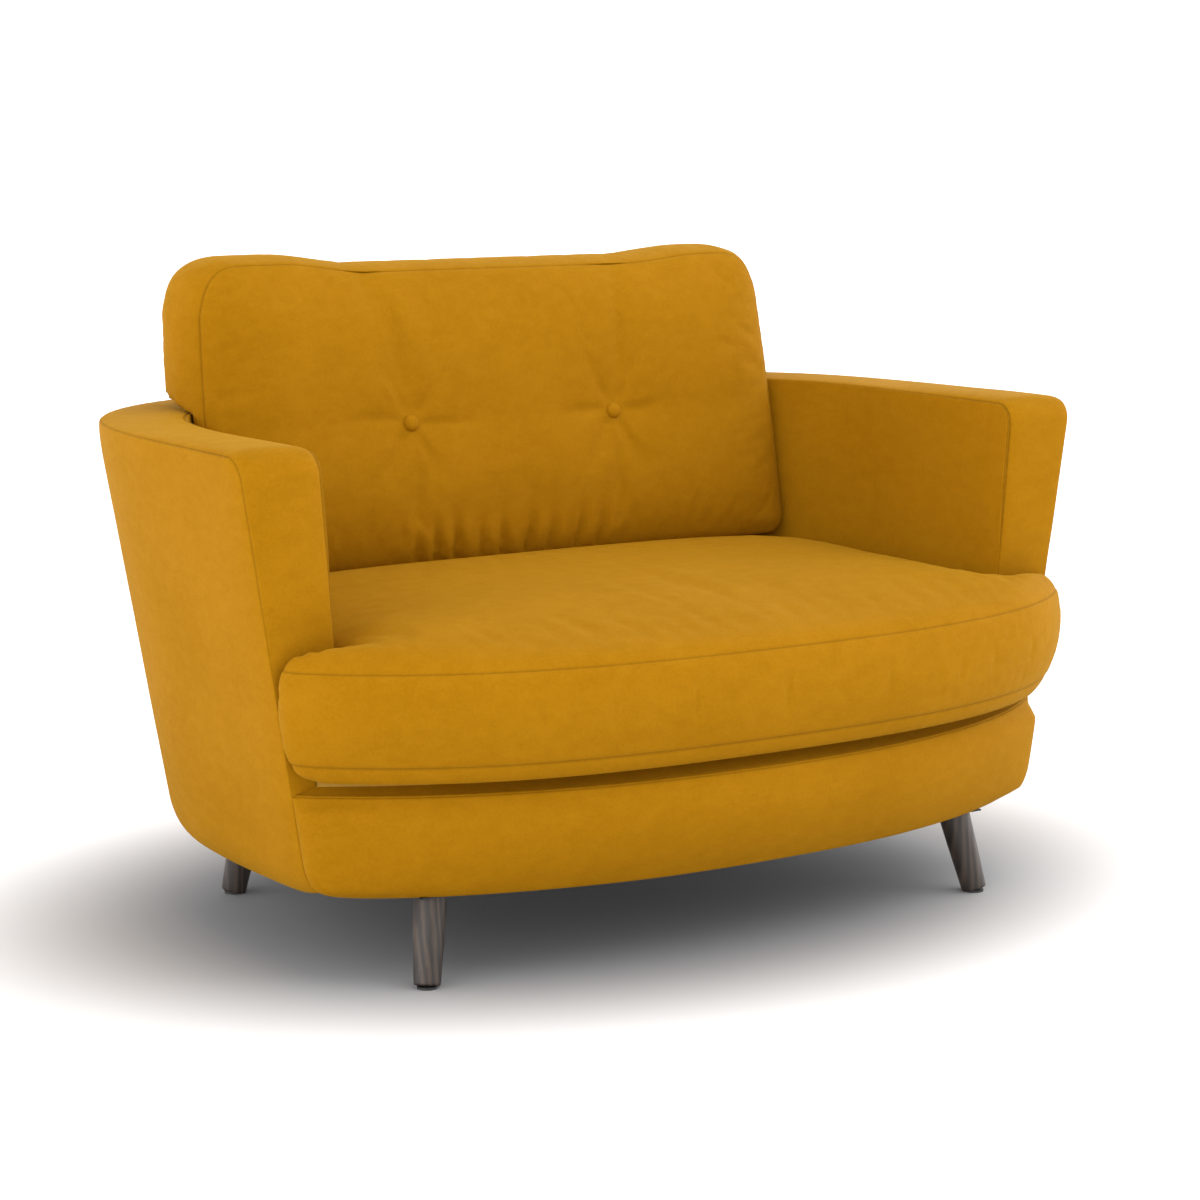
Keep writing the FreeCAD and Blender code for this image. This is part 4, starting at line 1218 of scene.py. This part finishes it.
def black_bottom_cloth():
    m = Recipe("black_bottom_cloth")
    fibres = m.noise(300.0, 5.0, 0.75, (1.0, 0.35, 1.0))
    clouds = m.noise(12.0, 3.0, 0.5)
    colour = m.mix(fibres * 0.7 + clouds * 0.3, rgb(0.008, 0.008, 0.009), rgb(0.045, 0.045, 0.048))
    return m.finish(Base_Color=colour, Roughness=0.88, Specular_IOR_Level=0.25,
                    Normal=m.bump(fibres, 0.0005, 0.6))


def timber(name, dark, middle, light, gloss, coat, fine):
    m = Recipe(name)
    figure = m.noise(fine, 5.0, 0.62, (1.0, 1.0, 0.10), 0.5)
    rings = m.node("ShaderNodeTexWave", {"wave_type": "BANDS", "bands_direction": "X"}, {
        "Vector": m.place((1.0, 0.8, 0.09), (0.0, 0.08, 0.2)), "Scale": fine * 0.55,
        "Distortion": 5.5, "Detail": 3.0, "Detail Scale": 1.6})
    pores = m.noise(fine * 9.0, 2.0, 0.6, (1.0, 1.0, 0.035))
    tone = m.node("ShaderNodeValToRGB", {"stops": [(0.25, dark), (0.52, middle), (0.80, light)]},
                  {"Fac": figure * 0.55 + rings * 0.45})
    pore = m.spread(pores, 0.60, 0.72)
    colour = m.mix(pore * 0.55, tone, tuple(c * 0.4 for c in dark[:3]) + (1.0,))
    return m.finish(Base_Color=colour, Roughness=m.spread(figure, 0.3, 0.7, gloss, gloss + 0.14),
                    Coat_Weight=coat, Coat_Roughness=0.35,
                    Normal=m.bump(1 - pore, 0.00025, 0.5, m.bump(figure, 0.0004, 0.25)))


def plain_steel():
    m = Recipe("plain_steel")
    drawn = m.noise(180.0, 3.0, 0.6, (1.0, 0.12, 1.0))
    bloom = m.noise(20.0, 3.0, 0.5)
    colour = m.mix(bloom, rgb(0.030, 0.030, 0.032), rgb(0.060, 0.060, 0.063))
    return m.finish(Base_Color=colour, Metallic=1.0, Roughness=m.spread(drawn, 0.3, 0.7, 0.40, 0.58),
                    Normal=m.bump(drawn, 0.0001, 0.4))


def moulded_plastic():
    m = Recipe("moulded_plastic")
    grain = m.noise(700.0, 2.0, 0.6)
    wear = m.noise(35.0, 4.0, 0.6)
    colour = m.mix(wear, rgb(0.012, 0.011, 0.011), rgb(0.040, 0.037, 0.035))
    return m.finish(Base_Color=colour, Roughness=m.spread(wear, 0.3, 0.7, 0.45, 0.65),
                    Normal=m.bump(grain, 0.0001, 0.5))


def waxed_twine():
    m = Recipe("waxed_twine")
    lay = m.node("ShaderNodeTexWave", {"wave_type": "BANDS", "bands_direction": "DIAGONAL"},
                 {"Vector": m.place(), "Scale": 500.0, "Distortion": 1.0})
    colour = m.mix(lay, rgb(0.42, 0.34, 0.22), rgb(0.72, 0.62, 0.46))
    return m.finish(Base_Color=colour, Roughness=0.7, Normal=m.bump(lay, 0.0002, 0.6))


def zip_tape():
    m = Recipe("zip_tape")
    rib = m.node("ShaderNodeTexWave", {"wave_type": "BANDS", "bands_direction": "X"},
                 {"Vector": m.place(), "Scale": 300.0, "Distortion": 0.2})
    fade = m.noise(60.0, 3.0, 0.6)
    colour = m.mix(rib * 0.4 + fade * 0.4, rgb(0.24, 0.12, 0.01), rgb(0.46, 0.26, 0.03))
    return m.finish(Base_Color=colour, Roughness=0.6, Normal=m.bump(rib, 0.0003, 0.7))


def upholstery_foam():
    m = Recipe("upholstery_foam")
    cells = m.node("ShaderNodeTexVoronoi", {"feature": "F1"}, {"Vector": m.place(), "Scale": 700.0})
    stain = m.noise(9.0, 4.0, 0.55)
    colour = m.mix(stain, rgb(0.70, 0.64, 0.45), rgb(0.86, 0.81, 0.62))
    return m.finish(Base_Color=colour, Roughness=0.95, Specular_IOR_Level=0.2,
                    Normal=m.bump(cells, 0.0006, 0.7))


MATERIALS = {
    "velvet": mustard_velvet(),
    "deck_cloth": plain_lining(),
    "dust_cloth": black_bottom_cloth(),
    "leg_walnut": timber("dark_walnut", rgb(0.010, 0.0058, 0.0034), rgb(0.027, 0.0160, 0.0100),
                         rgb(0.058, 0.0365, 0.0235), 0.46, 0.12, 60.0),
    "frame_timber": timber("sawn_hardwood", rgb(0.36, 0.22, 0.11), rgb(0.52, 0.35, 0.19),
                           rgb(0.66, 0.48, 0.28), 0.70, 0.0, 22.0),
    "steel": plain_steel(),
    "glide_plastic": moulded_plastic(),
    "twine": waxed_twine(),
    "zip": zip_tape(),
    "foam": upholstery_foam(),
}


def dress(piece, slot, body):
    """Gives a piece its finish and the body it moves with."""
    piece.data.materials.clear()
    piece.data.materials.append(MATERIALS[slot])
    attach(piece, body)


def dress_frame():
    """Finishes for the parts that come from the frame unchanged."""
    slots = {row["node"]: row["material_slot"] for row in frame["record"]["subparts"]}
    for name, node in frame["nodes"].items():
        node.data.materials.clear()
        node.data.materials.append(MATERIALS[slots[name]])


# ---- studio ---------------------------------------------------------------------------------
def make_studio():
    mesh = bpy.data.meshes.new("studio_floor")
    side = 60.0
    mesh.from_pydata([(-side, -side, 0), (side, -side, 0), (side, side, 0), (-side, side, 0)], [],
                     [(0, 1, 2, 3)])
    floor = bpy.data.objects.new("studio_floor", mesh)
    bpy.context.scene.collection.objects.link(floor)
    m = Recipe("studio_floor")
    # Painted shadow: the floor colour runs from dark grey within about 0.45 m of the middle to near white
    # beyond about 1.15 m. This is a contact shadow under and around the sofa painted into the floor.
    out = m.node("ShaderNodeVectorMath", {"operation": "LENGTH"}, {0: m.place((1.0, 1.25, 1.0))}, 1)
    colour = m.mix(m.spread(out, 0.45, 1.15), rgb(0.24, 0.24, 0.245), rgb(0.97, 0.97, 0.97))
    mesh.materials.append(m.finish(Base_Color=colour, Roughness=0.9, Specular_IOR_Level=0.1))

    world = bpy.data.worlds.new("studio_air")
    bpy.context.scene.world = world
    world.use_nodes = True
    air = world.node_tree
    air.nodes["Background"].inputs["Color"].default_value = (1.0, 1.0, 1.0, 1.0)
    where = air.nodes.new("ShaderNodeTexCoord")
    split = air.nodes.new("ShaderNodeSeparateXYZ")
    air.links.new(where.outputs["Generated"], split.inputs["Vector"])

    def fade(axis, start, end, low, high):
        made = air.nodes.new("ShaderNodeMapRange")
        made.interpolation_type = "SMOOTHSTEP"
        for key, value in (("From Min", start), ("From Max", end), ("To Min", low), ("To Max", high)):
            made.inputs[key].default_value = value
        air.links.new(split.outputs[axis], made.inputs["Value"])
        return made.outputs["Result"]

    def joined(operation, first, second):
        made = air.nodes.new("ShaderNodeMath")
        made.operation = operation
        air.links.new(first, made.inputs[0])
        air.links.new(second, made.inputs[1])
        return made.outputs[0]

    sides = joined("ADD", fade("X", -0.95, -0.25, 3.30, 0.0), fade("X", 0.25, 0.95, 0.0, 2.90))
    sides = joined("MULTIPLY", sides, fade("Z", 0.02, 0.40, 0.35, 1.0))
    around = joined("ADD", fade("Y", -0.95, -0.05, 1.52, 1.70), sides)
    strength = joined("MULTIPLY", around, fade("Z", 0.15, 0.85, 1.0, 0.27))
    air.links.new(strength, air.nodes["Background"].inputs["Strength"])
    data = bpy.data.lights.new("soft_overhead", "SUN")
    data.energy = 2.0
    data.angle = math.radians(70)
    lamp = bpy.data.objects.new("soft_overhead", data)
    lamp.rotation_euler = Vector((-0.35, 0.25, -0.90)).to_track_quat("-Z", "Y").to_euler()
    bpy.context.scene.collection.objects.link(lamp)

    data = bpy.data.cameras.new("camera")
    data.lens = 91.4
    data.sensor_width = 36.0
    camera = bpy.data.objects.new("camera", data)
    camera.location = (-2.230, -3.541, 1.0945)
    aim = Vector((-0.0624, -0.150, 0.4299)) - camera.location
    camera.rotation_euler = aim.to_track_quat("-Z", "Y").to_euler()
    bpy.context.scene.collection.objects.link(camera)
    bpy.context.scene.camera = camera
    bpy.context.scene.view_settings.view_transform = "Standard"


# ---- the whole sofa -------------------------------------------------------------------------
make_studio()
dress_frame()
for cloth in make_outside_covers().values():
    dress(cloth, "velvet", "root")
for cloth in make_inside_covers().values():
    dress(cloth, "velvet", "root")
make_padded_tops()
make_front_rail()
make_deck()
make_dust_cover()
make_seat_cushion()
make_back_cushion()
make_buttons()
make_legs()
make_screws()
